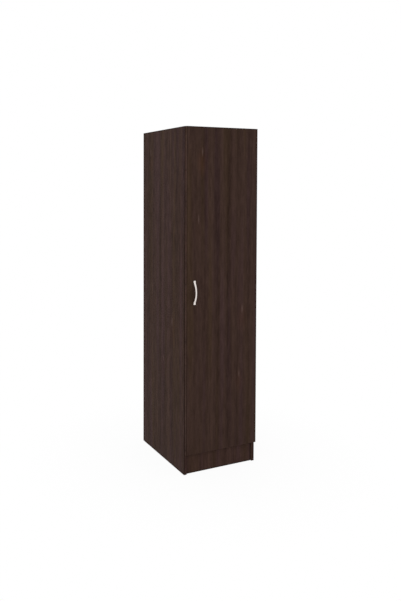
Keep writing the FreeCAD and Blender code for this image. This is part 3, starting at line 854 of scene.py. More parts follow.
def satin_metal(name, colour, roughness, brushed=None, speckle=0.0, metallic=1.0):
    """Plated metal; brushed gives the axis that its fine lines follow, and a dull plating is
    less metallic."""
    across_lines, along_lines, plating_scale, cloud_scale = 2600.0, 60.0, 900.0, 60.0
    line_weight, cloud_weight = 0.8, 0.6
    dull_metal, bright_metal = (0.86, 0.86, 0.87), (1.1, 1.1, 1.09)
    cloud_roughness, line_roughness, line_depth = 0.15, 0.12, 0.006 * mm
    material, tree = start_material(name)
    place = object_place(tree)
    if brushed:
        scale = [across_lines] * 3
        scale["XYZ".index(brushed)] = along_lines
        lines = noise(vector_maths("MULTIPLY", place, scale), 1.0)
    else:
        lines = noise(place, plating_scale, detail=3.0)
    cloud = noise(place, cloud_scale, detail=4.0)
    colour_out = shaded(around(0.5, (lines, line_weight), (cloud, cloud_weight + speckle)), colour,
                        dull_metal, bright_metal)
    rough = around(roughness, (cloud, cloud_roughness), (lines, line_roughness))
    end_material(colour_out, rough, lines, line_depth, {"Metallic": metallic})
    return material


def moulded_plastic(name, colour, roughness, transmission=0.0):
    """Moulded plastic with a fine grained skin."""
    skin_scale, cloud_scale = 1500.0, 40.0
    skin_weight, cloud_weight = 0.5, 0.8
    cloud_roughness, skin_depth = 0.15, 0.01 * mm
    material, tree = start_material(name)
    skin = noise(object_place(tree), skin_scale)
    cloud = noise(object_place(tree), cloud_scale, detail=3.0)
    colour_out = shaded(around(0.5, (skin, skin_weight), (cloud, cloud_weight)), colour,
                        grey(0.85), grey(1.15))
    rough = around(roughness, (cloud, cloud_roughness))
    end_material(colour_out, rough, skin, skin_depth, {"Transmission Weight": transmission})
    return material


def beech_wood(name):
    """Raw beech with its short darker flecks, for dowels that lie along X."""
    dark_beech, pale_beech = (0.40, 0.24, 0.12), (0.68, 0.47, 0.28)
    grain_pitch, grain_run, grain_depth = 0.8 * mm, 14 * mm, 0.05 * mm
    fleck_pitch, fleck_run, fleck_weight = 0.5 * mm, 2.5 * mm, 0.25
    fleck_range, shade_range = (0.6, 0.7), (0.2, 0.7)
    smoothest, roughest = 0.6, 0.75
    material, tree = start_material(name)
    place = board_place(tree, "Y", "X", (0, 0, 0))
    grain = drawn_noise(place, grain_pitch, grain_run, detail=3.0)
    fleck = spread(drawn_noise(place, fleck_pitch, fleck_run, detail=1.0), *fleck_range)
    shade = spread(grain - fleck * fleck_weight, *shade_range)
    rough = spread(grain, *noise_range, smoothest, roughest)
    end_material(mix_colours(shade, tint(dark_beech), tint(pale_beech)), rough, grain, grain_depth, {})
    return material


# Copies and screws


def set_copies(pattern, place, name, body, node, material):
    """Copies of a pattern for all solids of a node; place turns a solid's middle, lowest and highest
    corner into where its copy stands."""
    places = [place(*solid) for solid in solids(node)]
    return settle(repeat(pattern, places), name, body, node, material)


def cross_screw(screw, length, flush=False):
    """A screw that looks up along Z, its seat at the origin, with a cross recess."""
    head, rise, shank = screw
    tip_radius_share, tip_length_share = 0.3, 1.4
    crown_shares = ((1.0, 1.0),) if flush else ((0.45, 1.0), (0.86, 0.82), (1.0, 0.5))
    stations = [(-length, shank * tip_radius_share), (shank * tip_length_share - length, shank),
                (0, shank), (0, head)]
    stations += [(rise * height_share, head * radius_share)
                 for height_share, radius_share in crown_shares]
    reach_share, half_share, floor_share, over_share = 0.58, 0.11, 0.3, 1.5
    recess = cross_tool(head * reach_share, head * half_share, rise * floor_share, rise * over_share)
    return cut(turned(stations, sides=28), recess)


def set_screws(name, node, body, material, into, screw, flush=False):
    """Screws in every seat of a node."""
    pattern = cross_screw(screw, solid_length(node) - screw.head_height, flush)
    return settle(repeat(pattern, seats(node, into, screw)), name, body, node, material)


# Operators: one for each piece or group of like pieces


class CUPBOARD_OT_boards(Operator):
    """Give every board its foil, each with its own stretch of the printed grain"""
    bl_idname = "cupboard.dress_boards"
    bl_label = "Dress boards"

    def execute(self, context):
        boards = context.scene.cupboard_boards
        carcass = (boards.carcass_colour, boards.carcass_figure)
        banded_above = cupboard_top - touch
        for index, node in enumerate(side_boards):
            # Painted shade, partly a glue line, along the sides' rear, foot and top edges
            shaded_edges = (node, ("Y+", "Z-", "Z+"), boards.edge_shade_reach)
            foil = foil_board("foil_" + node, *carcass, "Y", "Z", side_stretch + index * side_step,
                              boards, banded_above, side_flecks, shaded_edges)
            dress_node(node, foil)
        for index, node in enumerate(level_boards):
            foil = foil_board("foil_" + node, *carcass, "Y", "X", level_stretch + index * level_step,
                              boards)
            dress_node(node, foil)
        # Painted shade at the plinth's ends, where the sides shade it, and along its foot by the floor
        shaded_edges = ("plinth_board", ("X-", "X+", "Z-"), boards.plinth_reach)
        plinth = foil_board("foil_plinth", boards.plinth_lightened_colour, boards.door_figure, "X", "Z",
                            front_stretch, boards, shaded_edges=shaded_edges)
        dress_node("plinth_board", plinth)
        # Painted shade, partly a glue line, along the door's side and top edges
        shaded_edges = ("door_panel", ("X-", "X+", "Z+"), boards.edge_shade_reach)
        door = foil_board("foil_door", boards.door_colour, boards.door_figure, "X", "Z",
                          front_stretch, boards, flecks=door_flecks, shaded_edges=shaded_edges)
        dress_node("door_panel", door)
        return {"FINISHED"}


class CUPBOARD_OT_edge_bands(Operator):
    """Give the edge bands their satin foil"""
    bl_idname = "cupboard.dress_edge_bands"
    bl_label = "Dress edge bands"

    def execute(self, context):
        boards = context.scene.cupboard_boards
        # The side bands get painted shade at their outer rims
        bands = (("side_edge_bands", "foil_side_bands", "Z", True),
                 ("door_edge_bands", "foil_upright_bands", "Z", False),
                 ("board_edge_bands", "foil_level_bands", "X", False))
        for node, name, along, rim_shaded in bands:
            foil = band_foil(name, boards.band_colour, along, boards, rim_shaded)
            dress_node(node, foil)
        return {"FINISHED"}


class CUPBOARD_OT_back(Operator):
    """Give the back sheets and their joining strip their finish"""
    bl_idname = "cupboard.dress_back"
    bl_label = "Dress back"

    def execute(self, context):
        boards = context.scene.cupboard_boards
        for index, node in enumerate(back_sheets):
            stretch = back_stretch + index * back_step
            dress_node(node, back_sheet_foil("foil_" + node, stretch, boards))
        strip = moulded_plastic("joining_strip_plastic", strip_colour, roughness=0.45)
        dress_node("back_joining_strip", strip)
        return {"FINISHED"}


class CUPBOARD_OT_handle(Operator):
    """Draw the bow handle out along its arc and seat its two screws"""
    bl_idname = "cupboard.build_handle"
    bl_label = "Build handle"

    def execute(self, context):
        metal = context.scene.cupboard_metal
        nickel = satin_metal("satin_nickel", metal.handle_colour, roughness=0.26, brushed="Z")
        settle(bowed_bar(metal), "bow_handle_bar", "door", "bow_handle", nickel)
        zinc = satin_metal("handle_screw_zinc", metal.zinc_colour, roughness=0.34)
        set_screws("handle_screw_pair", "handle_screws", "door", zinc, -rear, handle_screw)
        return {"FINISHED"}


def arc_rise(along, half_chord, sagitta):
    """Height of a flat arc over its chord."""
    radius = (half_chord ** 2 + sagitta ** 2) / (2 * sagitta)
    return math.sqrt(radius ** 2 - along ** 2) - radius + sagitta


def bowed_bar(metal):
    """The bow handle: a waisted bar that arches off two flat feet."""
    low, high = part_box("bow_handle")
    centre = (low + high) / 2
    half_length = (high.z - low.z) / 2
    reach = high.y - low.y
    foot_half = (high.x - low.x) / 2
    waist_half = 4.25 * mm
    foot_length = 13 * mm
    foot_rise = 7 * mm
    tip_rise = 6.2 * mm
    bar_thickness = 4.5 * mm
    foot_start = half_length - foot_length

    def section(along):
        """Half width, inner and outer distance from the door at a height along the bar."""
        half_width = foot_half - arc_rise(along, half_length, foot_half - waist_half)
        if abs(along) >= foot_start:
            share = (abs(along) - foot_start) / foot_length
            return half_width, 0.0, foot_rise + share * (tip_rise - foot_rise)
        inner = arc_rise(along, foot_start, reach - bar_thickness)
        outer = foot_rise + arc_rise(along, foot_start, reach - foot_rise)
        return half_width, inner, outer

    foot_steps = 4
    bow_steps = 40
    heights = [-half_length + foot_length * step / foot_steps for step in range(foot_steps)]
    heights += [-foot_start + 2 * foot_start * step / bow_steps for step in range(bow_steps + 1)]
    heights += [foot_start + foot_length * step / foot_steps for step in range(1, foot_steps + 1)]

    half_width, inner, outer = section(heights[0])
    deselect()
    bpy.ops.mesh.primitive_plane_add(size=1, location=(0, (inner + outer) / 2, heights[0]))
    piece = bpy.context.object
    piece.scale = (2 * half_width, outer - inner, 1)
    put_in_mesh(piece)
    start_edit()
    for previous, height in zip(heights, heights[1:]):
        old_half, old_inner, old_outer = section(previous)
        half_width, inner, outer = section(height)
        middle = (inner + outer) / 2
        move = (0, middle - (old_inner + old_outer) / 2, height - previous)
        bpy.ops.mesh.extrude_region_move(TRANSFORM_OT_translate={"value": move})
        ratio = (half_width / old_half, (outer - inner) / (old_outer - old_inner), 1)
        bpy.ops.transform.resize(value=ratio, center_override=(0, middle, height))
    face_outwards()
    piece.matrix_world = Matrix.Translation((centre.x, high.y, centre.z)) @ Matrix.Scale(-1, 4, rear)
    put_in_mesh(piece)
    start_edit()
    face_outwards()
    return soften(piece, metal.handle_edge, segments=4, angle=50 * degree)


class CUPBOARD_OT_hinges(Operator):
    """Press, bend and bore the four cup hinges and put in their pins and screws"""
    bl_idname = "cupboard.build_hinges"
    bl_label = "Build hinges"

    def execute(self, context):
        metal = context.scene.cupboard_metal
        steel = satin_metal("hinge_plated_steel", metal.steel_colour, roughness=0.38, metallic=0.85)
        bright = satin_metal("hinge_screw_steel", metal.steel_colour, roughness=0.34)
        builders = (("hinge_cup", "door", hinge_cup), ("hinge_arm", "carcass", hinge_arm),
                    ("hinge_plate", "carcass", hinge_plate))
        for stem, body, build in builders:
            pattern = build(metal)
            for number in hinge_numbers:
                alone(pattern)
                bpy.ops.object.duplicate(linked=False)
                copy = bpy.context.object
                copy.location.z = hinge_height(number) - hinge_height(1)
                node = "%s_%d" % (stem, number)
                settle(copy, node + "_pressing", body, node, steel)
            bpy.data.objects.remove(pattern)
        places = [stand((hinge_axis.x, hinge_axis.y, hinge_height(number)), up)
                  for number in hinge_numbers]
        settle(repeat(hinge_pin(), places), "hinge_pin_set", "door", "hinge_pins", bright)
        for name, body, into, screw in (("plate", "carcass", right, plate_screw),
                                        ("arm", "carcass", right, arm_screw),
                                        ("cup", "door", -rear, fitting_screw)):
            set_screws("hinge_%s_screw_set" % name, "hinge_%s_screws" % name, body,
                       bright, into, screw)
        return {"FINISHED"}


def hinge_height(number):
    low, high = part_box("hinge_cup_%d" % number)
    return (low.z + high.z) / 2


def hinge_pin():
    """A pin along Z with eased ends."""
    half = 8.0 * mm
    ease_start = 7.8 * mm
    radius = 1.25 * mm
    tip = 1.0 * mm
    return turned([(-half, tip), (-ease_start, radius), (ease_start, radius), (half, tip)], sides=24)


def hinge_cup(metal):
    """The first cup: a deep well with two cheeks, a rim and two wings with round ends."""
    low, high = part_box("hinge_cup_1")
    centre = (low + high) / 2
    radius = 17.5 * mm
    wall = 0.6 * mm
    cheek_half = 4.5 * mm
    slot_half = 4.8 * mm
    wing_half = 6.5 * mm
    wing_corner = 6.2 * mm
    bore_reach = 2 * mm
    door_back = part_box("door_panel")[1].y
    shell = rod((centre.x, low.y, centre.z), (centre.x, high.y, centre.z), radius, sides=64)
    screw_low, screw_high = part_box("hinge_cup_screws")
    screw_x = (screw_low.x + screw_high.x) / 2
    wings = block((screw_x - wing_half, door_back, low.z), (screw_x + wing_half, high.y, high.z))
    fuse(shell, round_edges(wings, wing_corner, segments=8, test=runs_along(rear)))
    well = rod((centre.x, low.y + wall, centre.z), (centre.x, high.y + wall, centre.z),
               radius - wall, sides=64)
    for end in (-1, 1):
        near = centre.z + end * slot_half
        far = centre.z + end * radius
        cheek = block((hinge_axis.x - cheek_half, low.y, min(near, far)),
                      (centre.x + radius, door_back, max(near, far)))
        cut(well, cheek)
    cut(shell, well)
    bore_seats(shell, "hinge_cup_screws", -rear, fitting_screw, bore_reach, bore_reach,
               centre.z, high.z - low.z)
    return soften(shell, metal.metal_edge)


def hinge_arm(metal):
    """The first arm: knuckle, web across the cup, bend, neck and a channel over the plate."""
    low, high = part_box("hinge_arm_1")
    height = hinge_height(1)
    thickness = 2.0 * mm
    half = 4.5 * mm
    wide = (high.z - low.z) / 2
    outer = low.x
    inner = outer + thickness
    web_low = hinge_axis.y - thickness / 2
    web_high = web_low + thickness
    neck_end = carcass_front + 0.3 * mm
    knuckle_radius = 2.05 * mm
    pin_hole_radius = 1.3 * mm
    outer_bend = 2.6 * mm
    inner_bend = 0.8 * mm
    channel_corner = 3.0 * mm
    flange_thickness = 1.4 * mm
    flange_front = carcass_front + 22 * mm
    flange_rear = high.y - 3 * mm
    flange_x = side_inner - 2.3 * mm
    slot_front = 7 * mm
    slot_length = 8 * mm
    slot_half = 1.6 * mm
    slot_corner = 1.5 * mm

    def at_bend(corner_x, corner_y):
        return lambda middle, run: (abs(run.z) > half and abs(middle.x - corner_x)
                                    + abs(middle.y - corner_y) < touch)

    def knuckle(radius, reach):
        return rod((hinge_axis.x, hinge_axis.y, height - reach),
                   (hinge_axis.x, hinge_axis.y, height + reach), radius)

    arm = block((outer, web_low, height - half), (hinge_axis.x, web_high, height + half))
    fuse(arm, block((outer, web_low + thickness / 2, height - half),
                    (inner, neck_end + thickness, height + half)))
    round_edges(arm, outer_bend, segments=6, test=at_bend(outer, web_low))
    round_edges(arm, inner_bend, segments=4, test=at_bend(inner, web_high))
    fuse(arm, knuckle(knuckle_radius, half))
    channel = block((outer, neck_end, height - wide), (inner, high.y, height + wide))
    fuse(arm, round_edges(channel, channel_corner, segments=6, test=runs_along(right)))
    for end in (-1, 1):
        rim = height + end * wide
        inside = height + end * (wide - flange_thickness)
        fuse(arm, block((outer + thickness / 2, flange_front, min(rim, inside)),
                        (flange_x, flange_rear, max(rim, inside))))
    cut(arm, knuckle(pin_hole_radius, 2 * half))
    bore_seats(arm, "hinge_arm_screws", right, arm_screw, thickness, 2 * thickness, height, wide)
    slot = block((outer - thickness, neck_end + slot_front, height - slot_half),
                 (outer + 2 * thickness, neck_end + slot_front + slot_length, height + slot_half))
    cut(arm, round_edges(slot, slot_corner, segments=6, test=runs_along(right)))
    return soften(arm, metal.metal_edge)


def hinge_plate(metal):
    """The first mounting plate: two wings with round ends and a raised rail."""
    low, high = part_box("hinge_plate_1")
    height = hinge_height(1)
    base_x = side_inner - 2 * mm
    screw_y = carcass_front + 37 * mm
    wing_half = 6.5 * mm
    wing_corner = 5.0 * mm
    rail_half = 5 * mm
    rail_corner = 1.2 * mm
    plate = block((base_x, screw_y - wing_half, low.z), (side_inner, screw_y + wing_half, high.z))
    round_edges(plate, wing_corner, segments=7, test=runs_along(right))
    rail = block((low.x, low.y, height - rail_half), (side_inner, high.y, height + rail_half))
    fuse(plate, round_edges(rail, rail_corner, segments=4, test=runs_along(right)))
    reach = high.z - height
    bore_seats(plate, "hinge_plate_screws", right, plate_screw, before=2 * mm,
               beyond=4 * mm, height=height, reach=reach)
    bore_seats(plate, "hinge_arm_screws", right, arm_screw, before=0,
               beyond=6 * mm, height=height, reach=reach)
    return soften(plate, metal.metal_edge)


class CUPBOARD_OT_board_fittings(Operator):
    """Turn the cams, bolts, dowels and caps that join the boards"""
    bl_idname = "cupboard.build_board_fittings"
    bl_label = "Build board fittings"

    def execute(self, context):
        metal = context.scene.cupboard_metal
        cast = satin_metal("cam_cast_zinc", metal.zinc_colour, roughness=0.42, speckle=0.5)
        plated = satin_metal("cam_bolt_zinc", metal.zinc_colour, roughness=0.32)
        plastic = moulded_plastic("cap_plastic", cap_colour, roughness=0.45)
        beech = beech_wood("raw_beech")
        bolt = cam_bolt(solid_length("cam_bolts"))
        dowel = fluted_dowel(solid_length("dowels"))
        set_copies(cam_lock(), lock_place, "cam_lock_set", "carcass", "cam_locks", cast)
        set_copies(bolt, bolt_place, "cam_bolt_set", "carcass", "cam_bolts", plated)
        set_copies(cam_cap(), cap_place, "cam_cap_set", "carcass", "cam_caps", plastic)
        set_copies(dowel, dowel_place, "dowel_set", "carcass", "dowels", beech)
        return {"FINISHED"}


def outer_side(middle):
    """The way from the cupboard's middle to the side that a fitting is near."""
    return right * math.copysign(1, middle.x)


def lock_place(middle, low, high):
    return stand((middle.x, middle.y, low.z), -up, outer_side(middle))


def bolt_place(middle, low, high):
    tip_x = high.x if middle.x > 0 else low.x
    return stand((tip_x, middle.y, middle.z), -outer_side(middle))


def cap_place(middle, low, high):
    return stand((middle.x, middle.y, high.z), -up)


def dowel_place(middle, low, high):
    return stand(middle, right)


def cam_lock():
    """A cam that looks out along Z, its bolt channel towards X."""
    radius = 7.2 * mm
    depth = 13.2 * mm
    ease = 0.4 * mm
    rim = 5.2 * mm
    dish = 0.2 * mm
    dish_depth = 0.5 * mm
    axis_depth = 9 * mm
    channel_radius = 3.6 * mm
    channel_start = -1.9 * mm
    channel_end = 9 * mm
    recess_reach = 3.6 * mm
    recess_half = 0.55 * mm
    recess_depth = 3.2 * mm
    piece = turned([(-depth, radius - ease), (ease - depth, radius), (-ease, radius),
                    (0, radius - ease), (0, rim), (-dish_depth, rim - dish)], sides=40)
    cut(piece, rod((channel_start, 0, -axis_depth), (channel_end, 0, -axis_depth),
                   channel_radius, sides=24))
    return cut(piece, cross_tool(recess_reach, recess_half, -recess_depth, 1 * mm))


def cam_bolt(length):
    """A bolt from its tip in the side, along Z to the head that the cam grips."""
    thread_start = 1.2 * mm
    thread_length = 11 * mm
    pitch = 1.4 * mm
    flank_share = 0.4
    crest = 2.45 * mm
    root = 1.8 * mm
    neck = 1.9 * mm
    head = 2.9 * mm
    stations = [(0, 1.2 * mm), (thread_start, 2.3 * mm)]
    height = thread_start
    while height + pitch < thread_length:
        stations += [(height + pitch * flank_share, crest), (height + pitch, root)]
        height += pitch
    stations += [(thread_length, crest), (length - 7 * mm, crest), (length - 6.6 * mm, neck),
                 (length - 3.2 * mm, neck), (length - 2.8 * mm, head), (length - 0.6 * mm, head),
                 (length, neck)]
    return turned(stations, sides=20)


def cam_cap():
    """A low domed cap that looks up along Z."""
    radius = 8.3 * mm
    return turned([(0, radius), (0.4 * mm, radius), (0.75 * mm, 7.9 * mm), (0.95 * mm, 7.2 * mm),
                   (1.0 * mm, 6.2 * mm)], sides=40)


def fluted_dowel(length):
    """A dowel along Z with eased ends and straight flutes."""
    half = length / 2
    radius = 3.95 * mm
    ease = 1.2 * mm
    tip_radius = radius - 0.8 * mm
    sides = 32
    flute_share = 0.93
    piece = turned([(-half, tip_radius), (-half + ease, radius), (half - ease, radius),
                    (half, tip_radius)], sides=sides)
    bpy.ops.object.mode_set(mode="EDIT")
    bpy.ops.mesh.select_mode(type="VERT")
    bpy.ops.mesh.select_all(action="DESELECT")
    mesh = bmesh.from_edit_mesh(piece.data)
    for vert in mesh.verts:
        turn = round(math.atan2(vert.co.y, vert.co.x) / (2 * math.pi / sides))
        if turn % 2 and abs(vert.co.z) < half - ease / 2:
            vert.select_set(True)
    bmesh.update_edit_mesh(piece.data)
    bpy.ops.transform.resize(value=(flute_share, flute_share, 1), center_override=(0, 0, 0))
    bpy.ops.object.mode_set(mode="OBJECT")
    return piece


class CUPBOARD_OT_shelf_pins(Operator):
    """Turn the shelf pins and cut the flats that the shelves lie on"""
    bl_idname = "cupboard.build_shelf_pins"
    bl_label = "Build shelf pins"

    def execute(self, context):
        metal = context.scene.cupboard_metal
        nickel = satin_metal("shelf_pin_nickel", metal.steel_colour, roughness=0.28)
        set_copies(shelf_pin(), pin_place, "shelf_pin_set", "carcass", "shelf_pins", nickel)
        return {"FINISHED"}


def pin_place(middle, low, high):
    out = -outer_side(middle)
    return stand((-out.x * side_inner, middle.y, high.z - pin_flat), out, up.cross(out))


def shelf_pin():
    """A pin that looks out along Z, with a collar on the side and a flat towards Y."""
    shank_length = 8 * mm
    shank_tip = 1.9 * mm
    shank = 2.4 * mm
    collar = 3.5 * mm
    collar_thickness = 0.8 * mm
    spigot = 2.95 * mm
    pin = turned([(-shank_length, shank_tip), (-shank_length + 0.5 * mm, shank), (0, shank),
                  (0, collar), (collar_thickness, collar), (collar_thickness, spigot),
                  (8.4 * mm, spigot), (9 * mm, shank)], sides=28)
    return cut(pin, block((-6 * mm, pin_flat, 0), (6 * mm, 6 * mm, 12 * mm)))


class CUPBOARD_OT_catch(Operator):
    """Mould the magnetic catch and press its pole plates and the strike plate"""
    bl_idname = "cupboard.build_catch"
    bl_label = "Build catch"

    def execute(self, context):
        metal = context.scene.cupboard_metal
        zinc = satin_metal("catch_zinc", metal.zinc_colour, roughness=0.32)
        plastic = moulded_plastic("catch_plastic", catch_colour, roughness=0.42)
        settle(catch_housing(), "catch_housing_moulding", "carcass", "catch_housing",
               plastic)
        plates = [soften(block(low, high), 0.15 * mm) for low, high in solid_boxes("catch_poles")]
        alone(*plates)
        bpy.ops.object.join()
        settle(plates[0], "catch_pole_pair", "carcass", "catch_poles", zinc)
        set_screws("catch_screw_pair", "catch_screws", "carcass", zinc, up, fitting_screw)
        settle(strike_plate(), "strike_plate_pressing", "door", "strike_plate", zinc)
        set_screws("strike_screw_flush", "strike_screw", "door", zinc, -rear, flush_screw,
                   flush=True)
        return {"FINISHED"}


def catch_housing():
    """The catch's housing: a middle with slots for its pole plates, between two drilled ears."""
    low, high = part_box("catch_housing")
    poles = solid_boxes("catch_poles")
    pole_wall = 1.2 * mm
    ear_corner = 2.5 * mm
    edge = 0.4 * mm
    ears = block((low.x, low.y, (low.z + high.z) / 2), high)
    housing = round_edges(ears, ear_corner, segments=5, test=runs_along(up))
    fuse(housing, block((poles[0][0].x - pole_wall, low.y, low.z),
                        (poles[0][1].x + pole_wall, high.y, high.z)))
    bore_seats(housing, "catch_screws", up, fitting_screw, before=3 * mm, beyond=9 * mm)
    for pole_low, pole_high in poles:
        cut(housing, block(pole_low, pole_high))
    return soften(housing, edge)


def strike_plate():
    """The strike plate with its countersunk hole."""
    low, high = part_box("strike_plate")
    centre = (low + high) / 2
    corner = 2.5 * mm
    edge = 0.15 * mm
    hole_radius = flush_screw.shank_radius + bore_clearance
    sink_radius = flush_screw.head_radius + bore_clearance
    sink_floor = high.y - flush_screw.head_height
    plate = round_edges(block(low, high), corner, segments=5, test=runs_along(rear))
    cut(plate, rod(centre - rear * 2 * mm, centre + rear * 2 * mm, hole_radius, sides=24))
    cut(plate, rod((centre.x, sink_floor, centre.z), (centre.x, high.y + 2 * mm, centre.z),
                   sink_radius))
    return soften(plate, edge)


class CUPBOARD_OT_wall_bracket(Operator):
    """Bend the wall bracket and drill it"""
    bl_idname = "cupboard.build_wall_bracket"
    bl_label = "Build wall bracket"

    def execute(self, context):
        metal = context.scene.cupboard_metal
        zinc = satin_metal("bracket_zinc", metal.zinc_colour, roughness=0.36)
        settle(wall_bracket(), "wall_bracket_angle", "carcass", "wall_bracket", zinc)
        set_screws("wall_bracket_screw_pair", "wall_bracket_screws", "carcass", zinc, up,
                   fitting_screw)
        return {"FINISHED"}


def wall_bracket():
    """An angle under the top panel and against the back, with a hole for the wall screw."""
    low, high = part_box("wall_bracket")
    thickness = 2 * mm
    corner = 5 * mm
    bend = 1.6 * mm
    edge = 0.2 * mm
    near = 1 * mm
    long_edge = 10 * mm
    wall_hole_radius = 3.25 * mm
    angle = block((low.x, low.y, high.z - thickness), high)
    lower = block((low.x, high.y - thickness, low.z), high)
    round_edges(angle, corner, segments=6,
                test=lambda middle, run: abs(run.z) > near and middle.y < low.y + near)
    round_edges(lower, corner, segments=6,
                test=lambda middle, run: abs(run.y) > near and middle.z < low.z + near)
    fuse(angle, lower)
    round_edges(angle, bend, segments=5, test=lambda middle, run: abs(run.x) > long_edge
                and middle.y > high.y - touch and middle.z > high.z - touch)
    bore_seats(angle, "wall_bracket_screws", up, fitting_screw, before=3 * mm, beyond=5 * mm)
    hole_z = (low.z + high.z - thickness) / 2
    cut(angle, rod((0, high.y - 4 * mm, hole_z), (0, high.y + 2 * mm, hole_z),
                   wall_hole_radius, sides=40))
    return soften(angle, edge)


class CUPBOARD_OT_glides_and_bumpers(Operator):
    """Mould the floor glides and the door's soft bumpers"""
    bl_idname = "cupboard.build_glides_and_bumpers"
    bl_label = "Build glides and bumpers"

    def execute(self, context):
        nylon = moulded_plastic("glide_nylon", nylon_colour, roughness=0.4)
        soft = moulded_plastic("bumper_soft", bumper_colour, roughness=0.3, transmission=0.35)
        set_copies(floor_glide(), glide_place, "floor_glide_set", "carcass", "floor_glides",
                   nylon)
        set_copies(door_bumper(), bumper_place, "door_bumper_set", "door", "door_bumpers",
                   soft)
        return {"FINISHED"}


def glide_place(middle, low, high):
    return stand((middle.x, middle.y, low.z), up)


def bumper_place(middle, low, high):
    return stand((middle.x, low.y, middle.z), rear)


def floor_glide():
    """A glide that stands on the floor, with its nail up along Z."""
    radius = 7.8 * mm
    thickness = 3 * mm
    nail = 1.0 * mm
    return turned([(0, 6.6 * mm), (0.5 * mm, 7.5 * mm), (1.1 * mm, radius), (thickness, radius),
                   (thickness, nail), (16.5 * mm, nail), (18 * mm, 0.2 * mm)], sides=40)


def door_bumper():
    """A domed bumper that looks up along Z."""
    radius = 4.85 * mm
    return turned([(0, radius), (0.5 * mm, radius), (1.0 * mm, 4.5 * mm), (1.45 * mm, 3.6 * mm),
                   (1.7 * mm, 2.2 * mm)], sides=40)


class CUPBOARD_OT_stage(Operator):
    """Set up the pale floor, the soft lamps and the camera"""
    bl_idname = "cupboard.set_stage"
    bl_label = "Set stage"

    def execute(self, context):
        studio = context.scene.cupboard_studio
        add_floor(studio)
        light_sky(context.scene, studio)
        add_lamp("key_lamp", studio.key_power, key_place)
        add_lamp("fill_lamp", studio.fill_power, fill_place)
        add_camera(context.scene, studio)
        return {"FINISHED"}


def seen_rays(tree):
    """One for rays that come from the camera, a glossy surface or clear plastic."""
    path = outputs_of(add_node("LightPath", {}, tree=tree))
    seen = maths("MAXIMUM", path["Is Camera Ray"], path["Is Glossy Ray"])
    return maths("MAXIMUM", seen, path["Is Transmission Ray"])


def add_floor(studio):
    """A pale floor that shows white and keeps a soft shadow."""
    shadow_start, shadow_end, white_at_start = 0.35, 1.1, 0.95
    blotch_scale, dull_floor, clean_floor = 3.0, 0.82, 0.86
    deselect()
    bpy.ops.mesh.primitive_plane_add(size=studio.floor_size)
    floor = bpy.context.object
    floor.name = "floor"
    material, tree = start_material("pale_floor")
    place = object_place(tree)
    pale = mix_colours(noise(place, blotch_scale), tint(grey(dull_floor)), tint(grey(clean_floor)))
    painted = add_node("BsdfDiffuse", {"Color": pale})
    white = add_node("Emission", {"Color": tint(grey(1)), "Strength": 1.0}, tree=tree)
    clean = spread(length_of(place), shadow_start, shadow_end, white_at_start, 1.0)
    mixed = add_node("MixShader", {0: seen_rays(tree) * clean, 1: painted, 2: white})
    add_node("OutputMaterial", {"Surface": mixed})
    floor.data.materials.append(material)


def light_sky(scene, studio):
    """Soft light from all round, behind which the background shows white."""
    world = bpy.data.worlds.new("studio_sky")
    world.use_nodes = True
    tree = world.node_tree
    tree.nodes.clear()
    strength = spread(seen_rays(tree), 0.0, 1.0, studio.sky_level, 1.0)
    sky = add_node("Background", {"Color": tint(grey(1)), "Strength": strength})
    add_node("OutputWorld", {"Surface": sky})
    scene.world = world


def add_lamp(name, power, place):
    """A large square lamp that looks at the cupboard's middle."""
    aim = Vector((0, 0, cupboard_top / 2)) - Vector(place)
    deselect()
    bpy.ops.object.light_add(type="AREA", location=place,
                             rotation=aim.to_track_quat("-Z", "Y").to_euler())
    lamp = bpy.context.object
    lamp.name = name
    lamp.data.name = name
    lamp.data.size = lamp_size
    lamp.data.energy = power
    lamp.visible_glossy = False


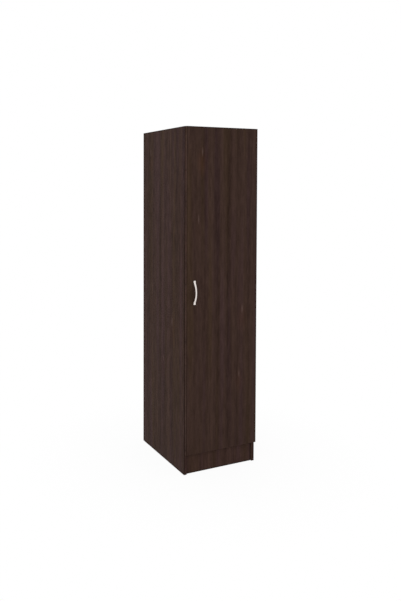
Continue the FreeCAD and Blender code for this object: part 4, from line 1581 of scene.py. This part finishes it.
def add_camera(scene, studio):
    """The camera at the photograph's place, for a picture 401 pixels wide and 601 high."""
    picture_width = 401
    picture_height = 601
    sensor = 36.0
    far_limit = 50
    deselect()
    turn = (math.pi / 2 - studio.camera_tip, 0, -studio.camera_turn)
    bpy.ops.object.camera_add(location=studio.camera_place, rotation=turn)
    camera = bpy.context.object
    camera.name = "photo_camera"
    camera.data.sensor_width = sensor
    camera.data.lens = studio.focal_pixels / picture_height * sensor
    camera.data.shift_x = (picture_width / 2 - studio.centre_pixels[0]) / picture_height
    camera.data.shift_y = (studio.centre_pixels[1] - picture_height / 2) / picture_height
    camera.data.clip_end = far_limit
    scene.camera = camera
    scene.view_settings.view_transform = "Standard"


# Sidebar panel, registration and the whole run

operators = (CUPBOARD_OT_stage, CUPBOARD_OT_boards, CUPBOARD_OT_edge_bands, CUPBOARD_OT_back,
             CUPBOARD_OT_handle, CUPBOARD_OT_hinges, CUPBOARD_OT_board_fittings,
             CUPBOARD_OT_shelf_pins, CUPBOARD_OT_catch, CUPBOARD_OT_wall_bracket,
             CUPBOARD_OT_glides_and_bumpers)
property_groups = {"cupboard_boards": CupboardBoards, "cupboard_metal": CupboardMetal,
                   "cupboard_studio": CupboardStudio}


class CUPBOARD_PT_sidebar(Panel):
    """Sizes, colours and steps of the cupboard's finish"""
    bl_idname = "CUPBOARD_PT_sidebar"
    bl_label = "Cupboard"
    bl_space_type = "VIEW_3D"
    bl_region_type = "UI"
    bl_category = "Cupboard"

    def draw(self, context):
        for name, group in property_groups.items():
            column = self.layout.column(align=True)
            for field in group.__annotations__:
                column.prop(getattr(context.scene, name), field)
        for operator in operators:
            self.layout.operator(operator.bl_idname)


def register():
    for name, group in property_groups.items():
        bpy.utils.register_class(group)
        setattr(bpy.types.Scene, name, PointerProperty(type=group))
    for operator in operators:
        bpy.utils.register_class(operator)
    bpy.utils.register_class(CUPBOARD_PT_sidebar)


def unregister():
    bpy.utils.unregister_class(CUPBOARD_PT_sidebar)
    for operator in reversed(operators):
        bpy.utils.unregister_class(operator)
    for name, group in property_groups.items():
        delattr(bpy.types.Scene, name)
        bpy.utils.unregister_class(group)


def main():
    register()
    bpy.ops.cupboard.set_stage()
    bpy.ops.cupboard.dress_boards()
    bpy.ops.cupboard.dress_edge_bands()
    bpy.ops.cupboard.dress_back()
    bpy.ops.cupboard.build_handle()
    bpy.ops.cupboard.build_hinges()
    bpy.ops.cupboard.build_board_fittings()
    bpy.ops.cupboard.build_shelf_pins()
    bpy.ops.cupboard.build_catch()
    bpy.ops.cupboard.build_wall_bracket()
    bpy.ops.cupboard.build_glides_and_bumpers()


if __name__ == "__main__":
    main()
